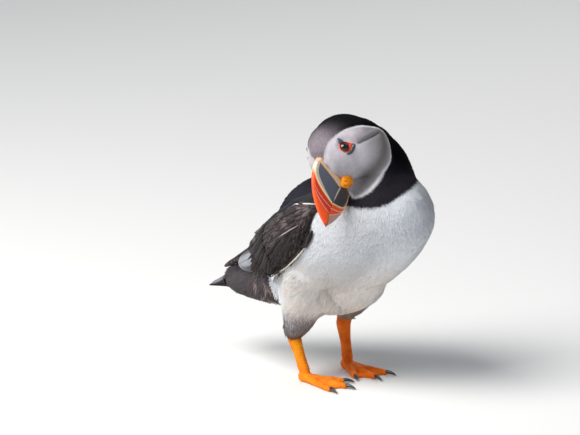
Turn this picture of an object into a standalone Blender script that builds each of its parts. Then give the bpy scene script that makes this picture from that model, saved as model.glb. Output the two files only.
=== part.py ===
"""Atlantic puffin standing at rest, life size, with its head turned over its right side and its bill lowered.

The bird faces -Y, +X is its left and +Z is up. The soles stand at z = 0 and the origin is under the middle
of the whole model's box. Flesh and plumage are modelled as one form, out to the tips of the coat, and this is
then parted by thin cuts into head, neck, trunk and thighs. Wings, tail, bill, rosettes, eyes, legs, feet and
claws are pieces of their own, a hair's breadth apart.
"""

import math

import bmesh
import bpy
import numpy as np
from mathutils import Matrix, Vector

MM = 0.001
GAP = 0.3  # between neighbouring pieces, mm

# Driving dimensions, in mm. Y is measured from the line through both toe joints; build() centres the whole.
STANCE = 23.0  # from the midline to each toe joint
TOE_IN = {"left": 14.0, "right": 9.0}  # how far each foot points across the way the body faces, degrees
TOE_SPREAD = 24.0  # between neighbouring toes, degrees
TOES = {"outer": 33.0, "middle": 35.0, "inner": 28.0}  # length from toe joint to claw
CLAW = 7.5
HEEL = {"left": (4.0, 34.0), "right": (10.5, 33.0)}  # Y and height of the joint above the shank
CUFF = {"left": 39.5, "right": 31.0}  # height at which the thigh's feathers end
TAIL_TIP = (0.0, 104.5, 51.5)

FLESH_VOXEL = 1.6
FLESH_TRIANGLES = 2450

# A toe from its joint to its claw: share of its length, height and radius in mm.
KNUCKLES = (
    (-0.04, 3.4, 3.6),
    (0.12, 3.2, 3.0),
    (0.36, 2.5, 2.6),
    (0.5, 2.4, 2.3),
    (0.62, 2.3, 2.4),
    (0.9, 1.9, 2.1),
    (1.0, 1.6, 1.5),
)

# The tail from root to tip: share of its length, half width and half thickness in mm.
TAIL = (
    (0, 13, 9),
    (0.25, 16, 7.5),
    (0.5, 18, 5),
    (0.72, 19, 3),
    (0.88, 17, 1.8),
    (0.96, 12, 1.1),
    (1, 5, 0.7),
)

# The head's frame stands on the gape's midpoint: x out along the bill, y to the bird's left, z to the crown.
GAPE = Vector((-40.2, -45.4, 156.4))
BILL_AIM = Vector((-0.898, -0.239, -0.369))
HEAD_LEFT = Vector((0.089, -0.921, 0.380))

# Left eye and left rosette in the head's frame: centres, and the rosette's half sizes and turn in degrees.
EYE = (-10.2, 13.9, 20.5)
EYE_RADIUS = 4.4
ROSETTE = (-1.0, 8.4, 0.2)
ROSETTE_SIZE = (5.0, 2.6, 4.7)
ROSETTE_TURN = 24.0

# Skull, face, chin and hind head as ellipsoids in the head's frame: centre, half sizes.
HEAD_FORMS = (
    ((-18, 0, 15), (24.5, 20.0, 22.0)),
    ((-18, -2, 24), (18, 15.5, 14)),
    ((-28, 0, 13), (23.5, 25, 24.5)),
    ((-13, 0, -2), (17, 12.5, 14.5)),
    ((-35, 2, 5.5), (22.5, 24, 24.5)),
)

# Trunk from tail base to breast: Y, Z, rise of the axis in degrees, half width, half depth.
TRUNK = (
    (92, 59, 14, 9, 6),
    (84, 59, 16, 17, 12),
    (66, 62, 22, 26, 16.5),
    (42, 70.5, 30, 35, 26.5),
    (15, 85.5, 34, 42, 40.5),
    (-15, 104, 34, 47, 44),
    (-40, 121, 36, 44, 42.5),
    (-59, 133.5, 38, 36.5, 36.5),
    (-72.5, 143, 40, 26.5, 27),
    (-81.5, 149, 40, 6, 6),
)

# What fills out the trunk and neck: centre, half sizes, rise of the longest axis in degrees.
MANTLE = ((0, 0, 123.5), (36, 40, 25.5), 34)
BELLY = ((0, -11, 73.5), (34.5, 38.5, 25), 12)
NAPE = ((3.5, -32, 168), (23.3, 23.3, 23.3), 0)

# Neck from the shoulders to the back of the skull: X, Y, Z, radius.
NECK = (
    (0, -28, 116, 41),
    (7, -38, 136, 33),
    (7, -38, 151, 29),
    (5.5, -34, 164.5, 26),
    (4, -32, 173, 22),
)

# Each feathered thigh from inside the belly to its cuff: X outwards, Y, Z, radius.
THIGH = {
    "left": (
        (22, -9, 84, 23),
        (23, -7, 66, 19.5),
        (24, -3, 55, 15),
        (23.5, 1.5, 46, 10.5),
        (STANCE, 4.0, CUFF["left"], 6.6),
    ),
    "right": (
        (22, -8, 84, 25),
        (25, -2, 66, 20),
        (24.5, 4.8, 48, 13),
        (23.5, 9.6, 38.5, 9),
        (STANCE, 10.5, CUFF["right"], 6.4),
    ),
}

# The cuts that part the flesh: a point on each plane, and the way the plane faces.
COLLAR = Vector((0, -45, 147))
COLLAR_UP = Vector((-0.08, 0.0, 0.997))
THROAT = Vector((-3, 0, -16))  # this one in the head's frame
THROAT_DOWN = Vector((-0.44, 0, -0.9))
GROIN_KEEL = (5.5, 48.0)  # X and Z of each thigh's cut beside the belly's keel
GROIN_RISE = 0.42  # how the cut climbs outwards
GROIN_BACK = 30.0  # Y where it ends behind the thigh

# Folded wing over the trunk: station along it in mm, lower and upper edge in degrees round it, thickness.
WING = (
    (-41, 30, 42, 2.0),
    (-34, 20, 50, 4.5),
    (-25, 5, 54, 5.5),
    (-8, -4, 57, 5.5),
    (10, -7, 60, 4.5),
    (21, -9, 63, 4.0),
    (29, 6, 66, 3.5),
    (38, 28, 70, 3.0),
    (52, 44, 76, 2.5),
    (68, 54, 82, 2.0),
    (84, 58, 84, 1.8),
)
WING_TIP = (2.0, 92.0, 66.5)  # X is out from the midline; the two tips all but meet over the rump


# ---------------------------------------------------------------- tools


def clear_scene():
    for obj in list(bpy.data.objects):
        bpy.data.objects.remove(obj)


def material(name, colour, roughness, metallic=0.0):
    made = bpy.data.materials.new(name)
    made.use_nodes = True
    shader = made.node_tree.nodes["Principled BSDF"]
    shader.inputs["Base Color"].default_value = (*colour, 1.0)
    shader.inputs["Roughness"].default_value = roughness
    shader.inputs["Metallic"].default_value = metallic
    made.diffuse_color = (*colour, 1.0)
    return made


def object_from(bm, name):
    """The bmesh, in mm, as an object of the scene, in metres."""
    bmesh.ops.recalc_face_normals(bm, faces=bm.faces)
    bmesh.ops.scale(bm, vec=(MM, MM, MM), verts=bm.verts)
    mesh = bpy.data.meshes.new(name)
    bm.to_mesh(mesh)
    bm.free()
    obj = bpy.data.objects.new(name, mesh)
    bpy.context.scene.collection.objects.link(obj)
    return obj


def apply_modifiers(obj):
    """Replaces the object's mesh by what its modifiers make of it."""
    graph = bpy.context.evaluated_depsgraph_get()
    finished = bpy.data.meshes.new_from_object(obj.evaluated_get(graph))
    obj.modifiers.clear()
    obj.data = finished


def copy_of(obj, name):
    twin = obj.copy()
    twin.data = obj.data.copy()
    twin.name = name
    bpy.context.scene.collection.objects.link(twin)
    return twin


def combine(obj, other, operation):
    """Applies a Boolean with the other object, which is then removed."""
    step = obj.modifiers.new(operation.lower(), "BOOLEAN")
    step.operation = operation
    step.object = other
    apply_modifiers(obj)
    bpy.data.objects.remove(other)


def swollen(obj, by=GAP):
    """A copy of the object grown by so many mm."""
    twin = copy_of(obj, obj.name + "_swollen")
    grow = twin.modifiers.new("grow", "DISPLACE")
    grow.mid_level = 0.0
    grow.strength = by * MM
    apply_modifiers(twin)
    return twin


def cut_clear_of(obj, *others):
    """Takes the other pieces out of this one, with the gap that neighbours keep."""
    for other in others:
        combine(obj, swollen(other), "DIFFERENCE")


def largest_body(obj):
    """Keeps the biggest connected piece, where a cut has also left crumbs."""
    bm = bmesh.new()
    bm.from_mesh(obj.data)
    unseen = set(bm.verts)
    bodies = []
    while unseen:
        front = [unseen.pop()]
        body = list(front)
        while front:
            for edge in front.pop().link_edges:
                for vert in edge.verts:
                    if vert in unseen:
                        unseen.remove(vert)
                        front.append(vert)
                        body.append(vert)
        bodies.append(body)
    bodies.sort(key=len)
    bmesh.ops.delete(bm, geom=[vert for body in bodies[:-1] for vert in body], context="VERTS")
    bm.to_mesh(obj.data)
    bm.free()


def fused(obj, voxel, smoothing, triangles):
    """The object's crossing shapes as one smooth closed body of about so many triangles."""
    fuse = obj.modifiers.new("fuse", "REMESH")
    fuse.mode = "VOXEL"
    fuse.voxel_size = voxel * MM
    blend = obj.modifiers.new("blend", "SMOOTH")
    blend.factor = 0.5
    blend.iterations = smoothing
    apply_modifiers(obj)
    thin = obj.modifiers.new("thin", "DECIMATE")
    thin.ratio = triangles / (2 * len(obj.data.polygons))
    thin.use_collapse_triangulate = True
    apply_modifiers(obj)
    return obj


def halved(obj, point, normal):
    """Keeps what lies behind a plane through the point, in mm, and closes the cut."""
    bm = bmesh.new()
    bm.from_mesh(obj.data)
    everything = [*bm.verts, *bm.edges, *bm.faces]
    cut = bmesh.ops.bisect_plane(bm, geom=everything, plane_co=point * MM, plane_no=normal, clear_outer=True)
    rim = [item for item in cut["geom_cut"] if isinstance(item, bmesh.types.BMEdge)]
    bmesh.ops.holes_fill(bm, edges=rim, sides=0)
    bmesh.ops.recalc_face_normals(bm, faces=bm.faces)
    bm.to_mesh(obj.data)
    bm.free()
    return obj


def smooth_curve(keys, count):
    """So many rows read evenly from a smooth curve through the rows of keys."""
    keys = np.array(keys, float)
    padded = np.vstack([2 * keys[0] - keys[1], keys, 2 * keys[-1] - keys[-2]])
    rows = []
    for place in np.linspace(0, len(keys) - 1, count):
        i = min(int(place), len(keys) - 2)
        t = place - i
        a, b, c, d = padded[i : i + 4]
        bend = (2 * a - 5 * b + 4 * c - d) * t**2 + (3 * b - a - 3 * c + d) * t**3
        rows.append(0.5 * (2 * b + (c - a) * t + bend))
    return np.array(rows)


def bezier(corners, t):
    """The point at t on a cubic curve with these four corners."""
    a, b, c, d = (np.array(corner, float) for corner in corners)
    s = 1 - t
    return a * s**3 + 3 * b * s**2 * t + 3 * c * s * t**2 + d * t**3


def skin_rings(bm, rings):
    """Joins rings of points into a tube, and closes each end with a point in its middle."""
    loops = [[bm.verts.new(point) for point in ring] for ring in rings]
    sides = len(loops[0])
    for lower, upper in zip(loops, loops[1:]):
        for i in range(sides):
            j = (i + 1) % sides
            bm.faces.new((lower[i], lower[j], upper[j], upper[i]))
    for loop in (loops[0], loops[-1]):
        middle = bm.verts.new(sum((v.co for v in loop), Vector()) / sides)
        for i in range(sides):
            bm.faces.new((loop[i], loop[(i + 1) % sides], middle))


def ellipse_ring(centre, across, upward, half_width, half_height, sides):
    """Points of an ellipse in the plane of the two unit vectors."""
    centre, across, upward = Vector(centre), Vector(across), Vector(upward)
    points = []
    for i in range(sides):
        turn = 2 * math.pi * i / sides
        sideways = across * (half_width * math.cos(turn))
        points.append(centre + sideways + upward * (half_height * math.sin(turn)))
    return points


def tube(bm, path, sides, flatten=1.0):
    """A tube through rows of (x, y, z, radius). Flatten is its size across X against its radius."""
    rings = []
    for i, (x, y, z, radius) in enumerate(path):
        before, after = path[max(i - 1, 0)], path[min(i + 1, len(path) - 1)]
        along = (Vector(after[:3]) - Vector(before[:3])).normalized()
        side = Vector((1, 0, 0))
        side = (side - along * side.dot(along)).normalized()
        rings.append(ellipse_ring((x, y, z), side, side.cross(along), radius * flatten, radius, sides))
    skin_rings(bm, rings)


def ellipsoid(bm, frame, centre, half_sizes, rings=16):
    """An ellipsoid whose centre and half sizes lie along the axes of a 4 x 4 frame."""
    place = frame @ Matrix.Translation(centre) @ Matrix.Diagonal((*half_sizes, 1.0))
    bmesh.ops.create_uvsphere(bm, u_segments=2 * rings, v_segments=rings, radius=1.0, matrix=place)


def sign_of(side):
    return 1 if side == "left" else -1


# ---------------------------------------------------------------- head, neck, trunk and thighs


def head_frame():
    forward = BILL_AIM.normalized()
    left = (HEAD_LEFT - forward * HEAD_LEFT.dot(forward)).normalized()
    turn = Matrix((forward, left, forward.cross(left))).transposed().to_4x4()
    return Matrix.Translation(GAPE) @ turn


HEAD = head_frame()


def trunk_row(station):
    """Y, Z, rise, half width and half depth of the trunk where its axis is at this Y."""
    rows = smooth_curve(TRUNK, 200)
    return [float(np.interp(-station, -rows[:, 0], rows[:, k])) for k in range(5)]


def trunk_point(station, angle, sign, lift=0.0):
    """A point on the trunk's side, so many degrees above its widest line and so many mm off its surface."""
    y, z, rise, half_width, half_depth = trunk_row(station)
    tilt, turn = math.radians(rise), math.radians(angle)
    out = (half_width + lift) * math.cos(turn)
    up = (half_depth + lift) * math.sin(turn)
    return Vector((sign * out, y + math.sin(tilt) * up, z + math.cos(tilt) * up))


def thigh_rows(side):
    """The feathered thigh, from inside the belly to the cuff round the shank."""
    return [(sign_of(side) * out, y, z, radius) for out, y, z, radius in THIGH[side]]


def flesh():
    bm = bmesh.new()
    rings = []
    for y, z, rise, half_width, half_depth in smooth_curve(TRUNK, 40):
        tilt = math.radians(rise)
        upward = (0, math.sin(tilt), math.cos(tilt))
        rings.append(ellipse_ring((0, y, z), (1, 0, 0), upward, half_width, half_depth, 40))
    skin_rings(bm, rings)
    tube(bm, smooth_curve(NECK, 16), 36)
    for side in ("left", "right"):
        tube(bm, smooth_curve(thigh_rows(side), 14), 24)
    for centre, half_sizes, rise in (MANTLE, BELLY, NAPE):
        place = Matrix.Translation(centre) @ Matrix.Rotation(math.radians(-rise), 4, "X")
        ellipsoid(bm, place, (0, 0, 0), half_sizes)
    for centre, half_sizes in HEAD_FORMS:
        ellipsoid(bm, HEAD, centre, half_sizes)
    return fused(object_from(bm, "flesh"), FLESH_VOXEL, 14, FLESH_TRIANGLES)


def groin_prism(side, inset):
    """The space below a plane that rises outwards from the belly's keel, on one side of the midline."""
    sign = sign_of(side)
    keel, height = GROIN_KEEL[0] + inset, GROIN_KEEL[1] - inset
    outside, below, front_y = 70, -20, -40
    corners = [
        (keel, below),
        (outside, below),
        (outside, height + GROIN_RISE * (outside - keel)),
        (keel, height),
    ]
    bm = bmesh.new()
    front = [bm.verts.new((sign * x, front_y, z)) for x, z in corners]
    back = [bm.verts.new((sign * x, GROIN_BACK - inset, z)) for x, z in corners]
    bm.faces.new(front)
    bm.faces.new(back)
    for i in range(4):
        j = (i + 1) % 4
        bm.faces.new((front[i], front[j], back[j], back[i]))
    return object_from(bm, "groin")


def parted(whole):
    """Head, neck, trunk and thighs, parted from the one form by thin flat cuts."""
    half = GAP / 2
    collar_up = COLLAR_UP.normalized()
    throat = HEAD @ THROAT
    throat_down = (HEAD.to_3x3() @ THROAT_DOWN).normalized()
    above = halved(copy_of(whole, "above"), COLLAR + collar_up * half, -collar_up)
    below = halved(copy_of(whole, "below"), COLLAR - collar_up * half, collar_up)
    pieces = {
        "head": halved(copy_of(above, "head"), throat - throat_down * half, throat_down),
        "neck": halved(copy_of(above, "neck"), throat + throat_down * half, -throat_down),
    }
    for side in ("left", "right"):
        pieces["thigh_" + side] = copy_of(below, "thigh_" + side)
        combine(pieces["thigh_" + side], groin_prism(side, GAP), "INTERSECT")
        combine(below, groin_prism(side, 0.0), "DIFFERENCE")
    pieces["trunk"] = below
    bpy.data.objects.remove(above)
    return pieces


# ---------------------------------------------------------------- wings and tail


def wing(side):
    """A folded wing as a thin curved slab over the trunk's side, its primaries meeting over the rump."""
    sign = sign_of(side)
    rings = []
    steps = 7
    for station, low, high, thick in smooth_curve(WING, 19):
        outer, inner = [], []
        for i in range(steps):
            s = i / (steps - 1)
            angle = low + (high - low) * s
            swell = (1 - abs(2 * s - 1) ** 3.5) ** 0.5
            outer.append(trunk_point(station, angle, sign, 0.8 + thick * swell))
            inner.append(trunk_point(station, angle, sign, -2.5))
        rings.append(outer + inner[::-1])
    tip = Vector((sign * WING_TIP[0], *WING_TIP[1:]))
    last = rings[-1]
    for part, shrink in ((0.55, 0.6), (0.85, 0.35), (1.0, 0.12)):
        middle = sum(last, Vector()) / len(last)
        there = middle.lerp(tip, part)
        rings.append([there + (point - middle) * shrink for point in last])
    bm = bmesh.new()
    skin_rings(bm, rings)
    return object_from(bm, "wing_" + side)


def tail():
    """The closed tail with its coverts, a flat wedge that thins to its rounded end."""
    rings = []
    root = Vector((0, 78, 60))
    tip = Vector(TAIL_TIP)
    along = (tip - root).normalized()
    across = Vector((1, 0, 0))
    upward = across.cross(along)
    for part, half_width, half_height in smooth_curve(TAIL, 11):
        rings.append(ellipse_ring(root.lerp(tip, part), across, upward, half_width, half_height, 16))
    bm = bmesh.new()
    skin_rings(bm, rings)
    return object_from(bm, "tail")


# ---------------------------------------------------------------- legs, feet and claws


def toe_aim(side, toe):
    """The way a toe points over the floor, as a unit vector."""
    fan = {"outer": -1, "middle": 0, "inner": 1}[toe]
    turn = math.radians(TOE_IN[side] + fan * TOE_SPREAD)
    return Vector((-sign_of(side) * math.sin(turn), -math.cos(turn), 0))


def web_outline(side):
    """The web's rim on the floor: out along the outer toe, over the three claws in two scallops, and back."""
    joint = Vector((sign_of(side) * STANCE, 0, 0))
    ends = [joint + toe_aim(side, toe) * (TOES[toe] * 0.95) for toe in ("outer", "middle", "inner")]
    rim = [joint + Vector((0, 3.0, 0))]
    for start, end in ((ends[0], ends[1]), (ends[1], ends[2])):
        dip = (joint - (start + end) / 2).normalized() * 2.6
        for i in range(6):
            t = i / 6
            rim.append(start.lerp(end, t) + dip * (4 * t * (1 - t)))
    rim.append(ends[2])
    return rim


def foot(side):
    bm = bmesh.new()
    sign = sign_of(side)
    joint = Vector((sign * STANCE, 0, 0))
    for toe, length in TOES.items():
        aim = toe_aim(side, toe)
        rows = []
        for part, height, radius in KNUCKLES:
            x, y, _ = joint + aim * (length * part)
            rows.append((x, y, height, radius))
        tube(bm, smooth_curve(rows, 14), 12, 1.15)
    rim = web_outline(side)
    low = [bm.verts.new((p.x, p.y, -0.6)) for p in rim]
    high = [bm.verts.new((p.x, p.y, 1.7)) for p in rim]
    bm.faces.new(low)
    bm.faces.new(high)
    for i in range(len(rim)):
        j = (i + 1) % len(rim)
        bm.faces.new((low[i], low[j], high[j], high[i]))
    ellipsoid(bm, Matrix.Translation(joint), (0, 1.0, 3.6), (4.2, 5.2, 4.6), 10)
    made = fused(object_from(bm, "foot_" + side), 0.6, 3, 430)
    return halved(made, Vector((0, 0, 0)), Vector((0, 0, -1)))


def leg(side):
    """The bare shank, from inside the thigh's feathers to the toe joint."""
    sign = sign_of(side)
    heel_y, heel_z = HEEL[side]
    rows = (
        (sign * (STANCE + 0.5), heel_y - 4, heel_z + 14, 4.6),
        (sign * STANCE, heel_y, heel_z + 2, 5.0),
        (sign * STANCE, heel_y + 0.2, heel_z - 3, 4.6),
        (sign * STANCE, 0.62 * heel_y, 0.62 * heel_z, 3.4),
        (sign * STANCE, 0.3 * heel_y, 0.36 * heel_z, 3.5),
        (sign * STANCE, 0.3, 5, 4.3),
    )
    bm = bmesh.new()
    tube(bm, smooth_curve(rows, 11), 12, 0.86)
    return object_from(bm, "leg_" + side)


def claw(side, toe):
    """A short hooked claw that starts in the end of its toe and clears the floor."""
    joint = Vector((sign_of(side) * STANCE, 0, 0))
    aim = toe_aim(side, toe)
    start = TOES[toe] - 1.5
    shape = ((0, 2.3, 1.5), (0.3, 2.7, 1.45), (0.6, 2.4, 1.1), (0.85, 1.7, 0.7), (1, 1.0, 0.35))
    rows = []
    for part, height, radius in shape:
        x, y, _ = joint + aim * (start + (CLAW + 1.5) * part)
        rows.append((x, y, height, radius))
    bm = bmesh.new()
    tube(bm, smooth_curve(rows, 6), 6)
    return object_from(bm, f"claw_{side}_{toe}")


# ---------------------------------------------------------------- bill, rosettes and eyes

# Corners of curves in the head's frame, x and z: the ridge, the line of the mouth and the bill's keel.
CULMEN = ((2.4, 25.4), (21.5, 24.0), (35.0, 6.0), (35.4, -12.9))
MOUTH = ((3.0, 0.0), (12.0, -0.5), (24.0, -4.5), (34.2, -11.8))
KEEL = ((-0.9, -12.3), (7.0, -17.2), (20.0, -17.0), (32.8, -13.4))
BILL_WIDTH = 5.7  # from the midline to the bill's side at the gape


def bill_half(name, edge, mouth_gap, inward, ridge):
    """Half the bill, as sections that fan from its base to its tip between an edge curve and the mouth."""
    rings = []
    across = (0.0, 0.06, 0.2, 0.45, 0.75, 1.0)
    for t in (-0.12, 0.0, 0.1, 0.2, 0.3, 0.4, 0.5, 0.6, 0.7, 0.8, 0.9, 0.97):
        place = max(t, 0.0)  # the first section is the root, set back into the face
        outer, mouth = bezier(edge, place), bezier(MOUTH, place)
        mouth = mouth + (outer - mouth) / np.linalg.norm(outer - mouth) * mouth_gap
        if t < 0:
            outer, mouth = outer + np.array(inward), mouth + np.array((-6.0, 0.0))
        width = BILL_WIDTH * (1 - place) ** 0.8 + 0.9 * place
        half = []
        for s in across:
            x, z = outer + (mouth - outer) * s
            swell = ridge + (1 - ridge) * math.sin(s * math.pi / 2) ** 0.8
            half.append(Vector((x, width * swell * (s > 0), z)))
        mirrored = [Vector((p.x, -p.y, p.z)) for p in half[:0:-1]]
        rings.append([HEAD @ p for p in half + mirrored])
    bm = bmesh.new()
    skin_rings(bm, rings)
    return object_from(bm, name)


def rosette(side):
    """The fleshy pad at a corner of the mouth."""
    sign = sign_of(side)
    x, y, z = ROSETTE
    turn = Matrix.Rotation(math.radians(-sign * ROSETTE_TURN), 4, "Z")
    bm = bmesh.new()
    ellipsoid(bm, HEAD @ Matrix.Translation((x, sign * y, z)) @ turn, (0, 0, 0), ROSETTE_SIZE, 9)
    return object_from(bm, "rosette_" + side)


def eye(side):
    bm = bmesh.new()
    x, y, z = EYE
    ellipsoid(bm, HEAD, (x, sign_of(side) * y, z), (EYE_RADIUS,) * 3, 8)
    return object_from(bm, "eye_" + side)


# ---------------------------------------------------------------- the whole bird

FINISHES = {
    "head": ((0.42, 0.40, 0.41), 0.85),
    "neck": ((0.03, 0.03, 0.035), 0.85),
    "trunk": ((0.82, 0.82, 0.83), 0.85),
    "thigh": ((0.55, 0.53, 0.52), 0.9),
    "wing": ((0.05, 0.042, 0.04), 0.8),
    "tail": ((0.045, 0.045, 0.055), 0.8),
    "leg": ((0.90, 0.32, 0.02), 0.5),
    "foot": ((0.93, 0.28, 0.03), 0.5),
    "claw": ((0.05, 0.05, 0.06), 0.35),
    "bill_upper": ((0.75, 0.10, 0.03), 0.35),
    "bill_lower": ((0.30, 0.18, 0.14), 0.35),
    "rosette": ((0.95, 0.55, 0.02), 0.5),
    "eye": ((0.02, 0.015, 0.015), 0.1),
}


def add_trimmed(pieces, made, *others):
    """Files a piece under its name, once it has been cut clear of the others."""
    cut_clear_of(made, *others)
    largest_body(made)
    pieces[made.name] = made


def build():
    clear_scene()
    body = flesh()
    pieces = parted(body)
    add_trimmed(pieces, bill_half("bill_upper", CULMEN, GAP / 2, (-7.0, -2.0), 0.25), body)
    add_trimmed(pieces, bill_half("bill_lower", KEEL, GAP / 2, (-6.0, 1.0), 0.30), body)
    add_trimmed(pieces, tail(), body)
    for side in ("left", "right"):
        pieces["eye_" + side] = eye(side)
        cut_clear_of(pieces["head"], pieces["eye_" + side])
        add_trimmed(pieces, rosette(side), body, pieces["bill_upper"], pieces["bill_lower"])
        add_trimmed(pieces, wing(side), body, pieces["tail"])
        pieces["foot_" + side] = foot(side)
        add_trimmed(pieces, leg(side), body, pieces["foot_" + side])
        for toe in TOES:
            add_trimmed(pieces, claw(side, toe), pieces["foot_" + side])
    cut_clear_of(pieces["wing_left"], pieces["wing_right"])
    bpy.data.objects.remove(body)
    stand = bpy.data.objects.new("puffin", None)
    bpy.context.scene.collection.objects.link(stand)
    corners = [obj.matrix_world @ vertex.co for obj in pieces.values() for vertex in obj.data.vertices]
    for axis in (0, 1):
        ends = [corner[axis] for corner in corners]
        stand.location[axis] = -(min(ends) + max(ends)) / 2
    finishes = {kind: material(kind, *look) for kind, look in FINISHES.items()}
    for name, obj in pieces.items():
        obj.name = name
        obj.parent = stand
        obj.data.materials.clear()
        obj.data.materials.append(finishes[name if name in finishes else name.split("_")[0]])
        obj.data.shade_smooth()
        obj.data.set_sharp_from_angle(angle=math.radians(50))


build()
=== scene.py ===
import math

import bmesh
import bpy
import numpy as np
from mathutils import Matrix, Vector
from mathutils.bvhtree import BVHTree
from mathutils.noise import noise


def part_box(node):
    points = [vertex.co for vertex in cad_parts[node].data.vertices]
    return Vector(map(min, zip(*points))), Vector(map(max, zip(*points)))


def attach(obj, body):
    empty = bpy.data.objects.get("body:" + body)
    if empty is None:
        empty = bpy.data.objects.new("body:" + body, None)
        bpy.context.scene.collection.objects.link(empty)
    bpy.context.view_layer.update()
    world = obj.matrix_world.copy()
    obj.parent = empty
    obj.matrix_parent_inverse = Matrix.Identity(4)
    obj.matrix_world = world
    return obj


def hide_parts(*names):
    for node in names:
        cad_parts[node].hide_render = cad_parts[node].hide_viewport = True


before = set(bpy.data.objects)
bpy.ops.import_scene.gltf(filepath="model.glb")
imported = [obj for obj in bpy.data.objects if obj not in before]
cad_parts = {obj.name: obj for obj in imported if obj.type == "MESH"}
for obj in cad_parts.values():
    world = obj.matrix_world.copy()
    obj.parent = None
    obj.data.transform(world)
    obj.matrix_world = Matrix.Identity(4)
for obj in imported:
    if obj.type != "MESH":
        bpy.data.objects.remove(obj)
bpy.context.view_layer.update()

# ---------------------------------------------------------------- skin
# One skin covers head, neck, trunk and thighs with no seam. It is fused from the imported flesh, eased
# free of facets, and drawn in by the depth of the plumage that grows on it. Folds are pressed into it
# round the eyes and behind them. Every mark of the plumage is worked out here, so coat and skin agree.

MM = 0.001
EYE_IN_HEAD = (-10.2, 0.0, 20.5)  # midway between the eyeballs, in the head's frame
BILL_DROP = math.radians(34.85)  # how far the bill's tip hangs below the line straight ahead of the eyes
TAIL_REACH = 104.7  # from the toe joints' line back to the tail's tip
SKIN_NODES = ("head", "neck", "trunk", "thigh_left", "thigh_right")
SIDES = {"left": 1, "right": -1}


def middle(node):
    low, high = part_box(node)
    return (low + high) / 2


eyes_middle = (middle("eye_left") + middle("eye_right")) / 2
head_left = (middle("eye_left") - middle("eye_right")).normalized()
bill_points = [v.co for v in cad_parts["bill_upper"].data.vertices]
ahead = max(bill_points, key=lambda p: (p - eyes_middle).length) - eyes_middle
ahead = (ahead - head_left * ahead.dot(head_left)).normalized()
head_forward = Matrix.Rotation(-BILL_DROP, 3, head_left) @ ahead
head_turn = np.array([head_forward, head_left, head_forward.cross(head_left)]).T
gape = np.array(eyes_middle) - head_turn @ np.array(EYE_IN_HEAD) * MM
between_legs = (middle("leg_left").x + middle("leg_right").x) / 2
stand = np.array((between_legs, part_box("tail")[1].y - TAIL_REACH * MM, 0))


def in_head(points):
    """Points of the model in mm in the head's frame: x along the bill, y to its left, z to the crown."""
    return (np.asarray(points) - gape) @ head_turn / MM


def from_head(points):
    return np.asarray(points, float) * MM @ head_turn.T + gape


def in_body(points):
    """Points in mm from the middle of the toe joints' line: the bird faces -Y, its left is +X."""
    return (np.asarray(points) - stand) / MM


def from_body(points):
    return np.asarray(points, float) * MM + stand


def unit(vectors):
    return vectors / np.maximum(np.linalg.norm(vectors, axis=-1, keepdims=True), 1e-12)


def ramp(value, start, end):
    """0 at start, 1 at end and smooth between them, for start above or below end."""
    t = np.clip((value - start) / (end - start), 0, 1)
    return t * t * (3 - 2 * t)


def groove(distance, width):
    """1 on a line and falling away on both sides of it."""
    return np.exp(-((distance / width) ** 2))


def noises(points, scale=1.0):
    return np.array([noise(Vector(p) * scale) for p in points])


def blend(base, *layers):
    """A colour or vector for each point: the base, then others laid over it, each with its share."""
    for other, share in layers:
        share = np.asarray(share)[:, None]
        base = np.asarray(base, float) * (1 - share) + np.asarray(other, float) * share
    return base


def closed_curve(keys, steps=8):
    """A smooth closed line through the points."""
    keys = np.array(keys, float)
    line = []
    for i in range(len(keys)):
        a, b, c, d = (keys[(i + k) % len(keys)] for k in (-1, 0, 1, 2))
        for t in np.arange(steps) / steps:
            bend = (2 * a - 5 * b + 4 * c - d) * t**2 + (3 * b - a - 3 * c + d) * t**3
            line.append(0.5 * (2 * b + (c - a) * t + bend))
    return np.array(line)


def line_distance(points, line):
    """How far each 2-D point is from an open line."""
    nearest = np.full(len(points), 1e9)
    for (x0, y0), (x1, y1) in zip(line, line[1:]):
        dx, dy = x1 - x0, y1 - y0
        px, py = points[:, 0] - x0, points[:, 1] - y0
        t = np.clip((px * dx + py * dy) / (dx * dx + dy * dy), 0, 1)
        nearest = np.minimum(nearest, np.hypot(px - t * dx, py - t * dy))
    return nearest


def depth_inside(points, line):
    """How far each 2-D point is inside a closed line, and below 0 outside it."""
    line = np.vstack([line, line[:1]])
    (x, y), inside = points.T, np.zeros(len(points), bool)
    for (x0, y0), (x1, y1) in zip(line, line[1:]):
        inside ^= ((y < y0) != (y < y1)) & (x - x0 < (x1 - x0) * (y - y0) / ((y1 - y0) or 1e-9))
    return line_distance(points, line) * np.where(inside, 1, -1)


def new_object(name, mesh):
    obj = bpy.data.objects.new(name, mesh)
    bpy.context.scene.collection.objects.link(obj)
    return obj


def mesh_of(bm, name):
    made = bpy.data.meshes.new(name)
    bm.to_mesh(made)
    bm.free()
    return made


def finished_mesh(obj):
    """The mesh that the object's modifiers make, in their place."""
    bpy.context.view_layer.update()
    graph = bpy.context.evaluated_depsgraph_get()
    made = bpy.data.meshes.new_from_object(obj.evaluated_get(graph))
    obj.modifiers.clear()
    obj.data = made
    return made


def fused(name, nodes, swell, voxel, easing):
    """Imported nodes, grown outwards by swell, as one even, smooth, closed piece. Lengths are in mm."""
    bm = bmesh.new()
    for node in nodes:
        bm.from_mesh(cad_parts[node].data)
    bmesh.ops.remove_doubles(bm, verts=bm.verts, dist=0.01 * MM)
    bm.normal_update()
    for vert in bm.verts:
        vert.co += vert.normal * (swell * MM)
    obj = new_object(name, mesh_of(bm, name))
    fuse = obj.modifiers.new("fuse", "REMESH")
    fuse.mode = "VOXEL"
    fuse.voxel_size = voxel * MM
    ease = obj.modifiers.new("ease", "SMOOTH")
    ease.factor = 0.5
    ease.iterations = easing
    finished_mesh(obj)
    obj.data.materials.clear()
    obj.data.shade_smooth()
    return obj


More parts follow.
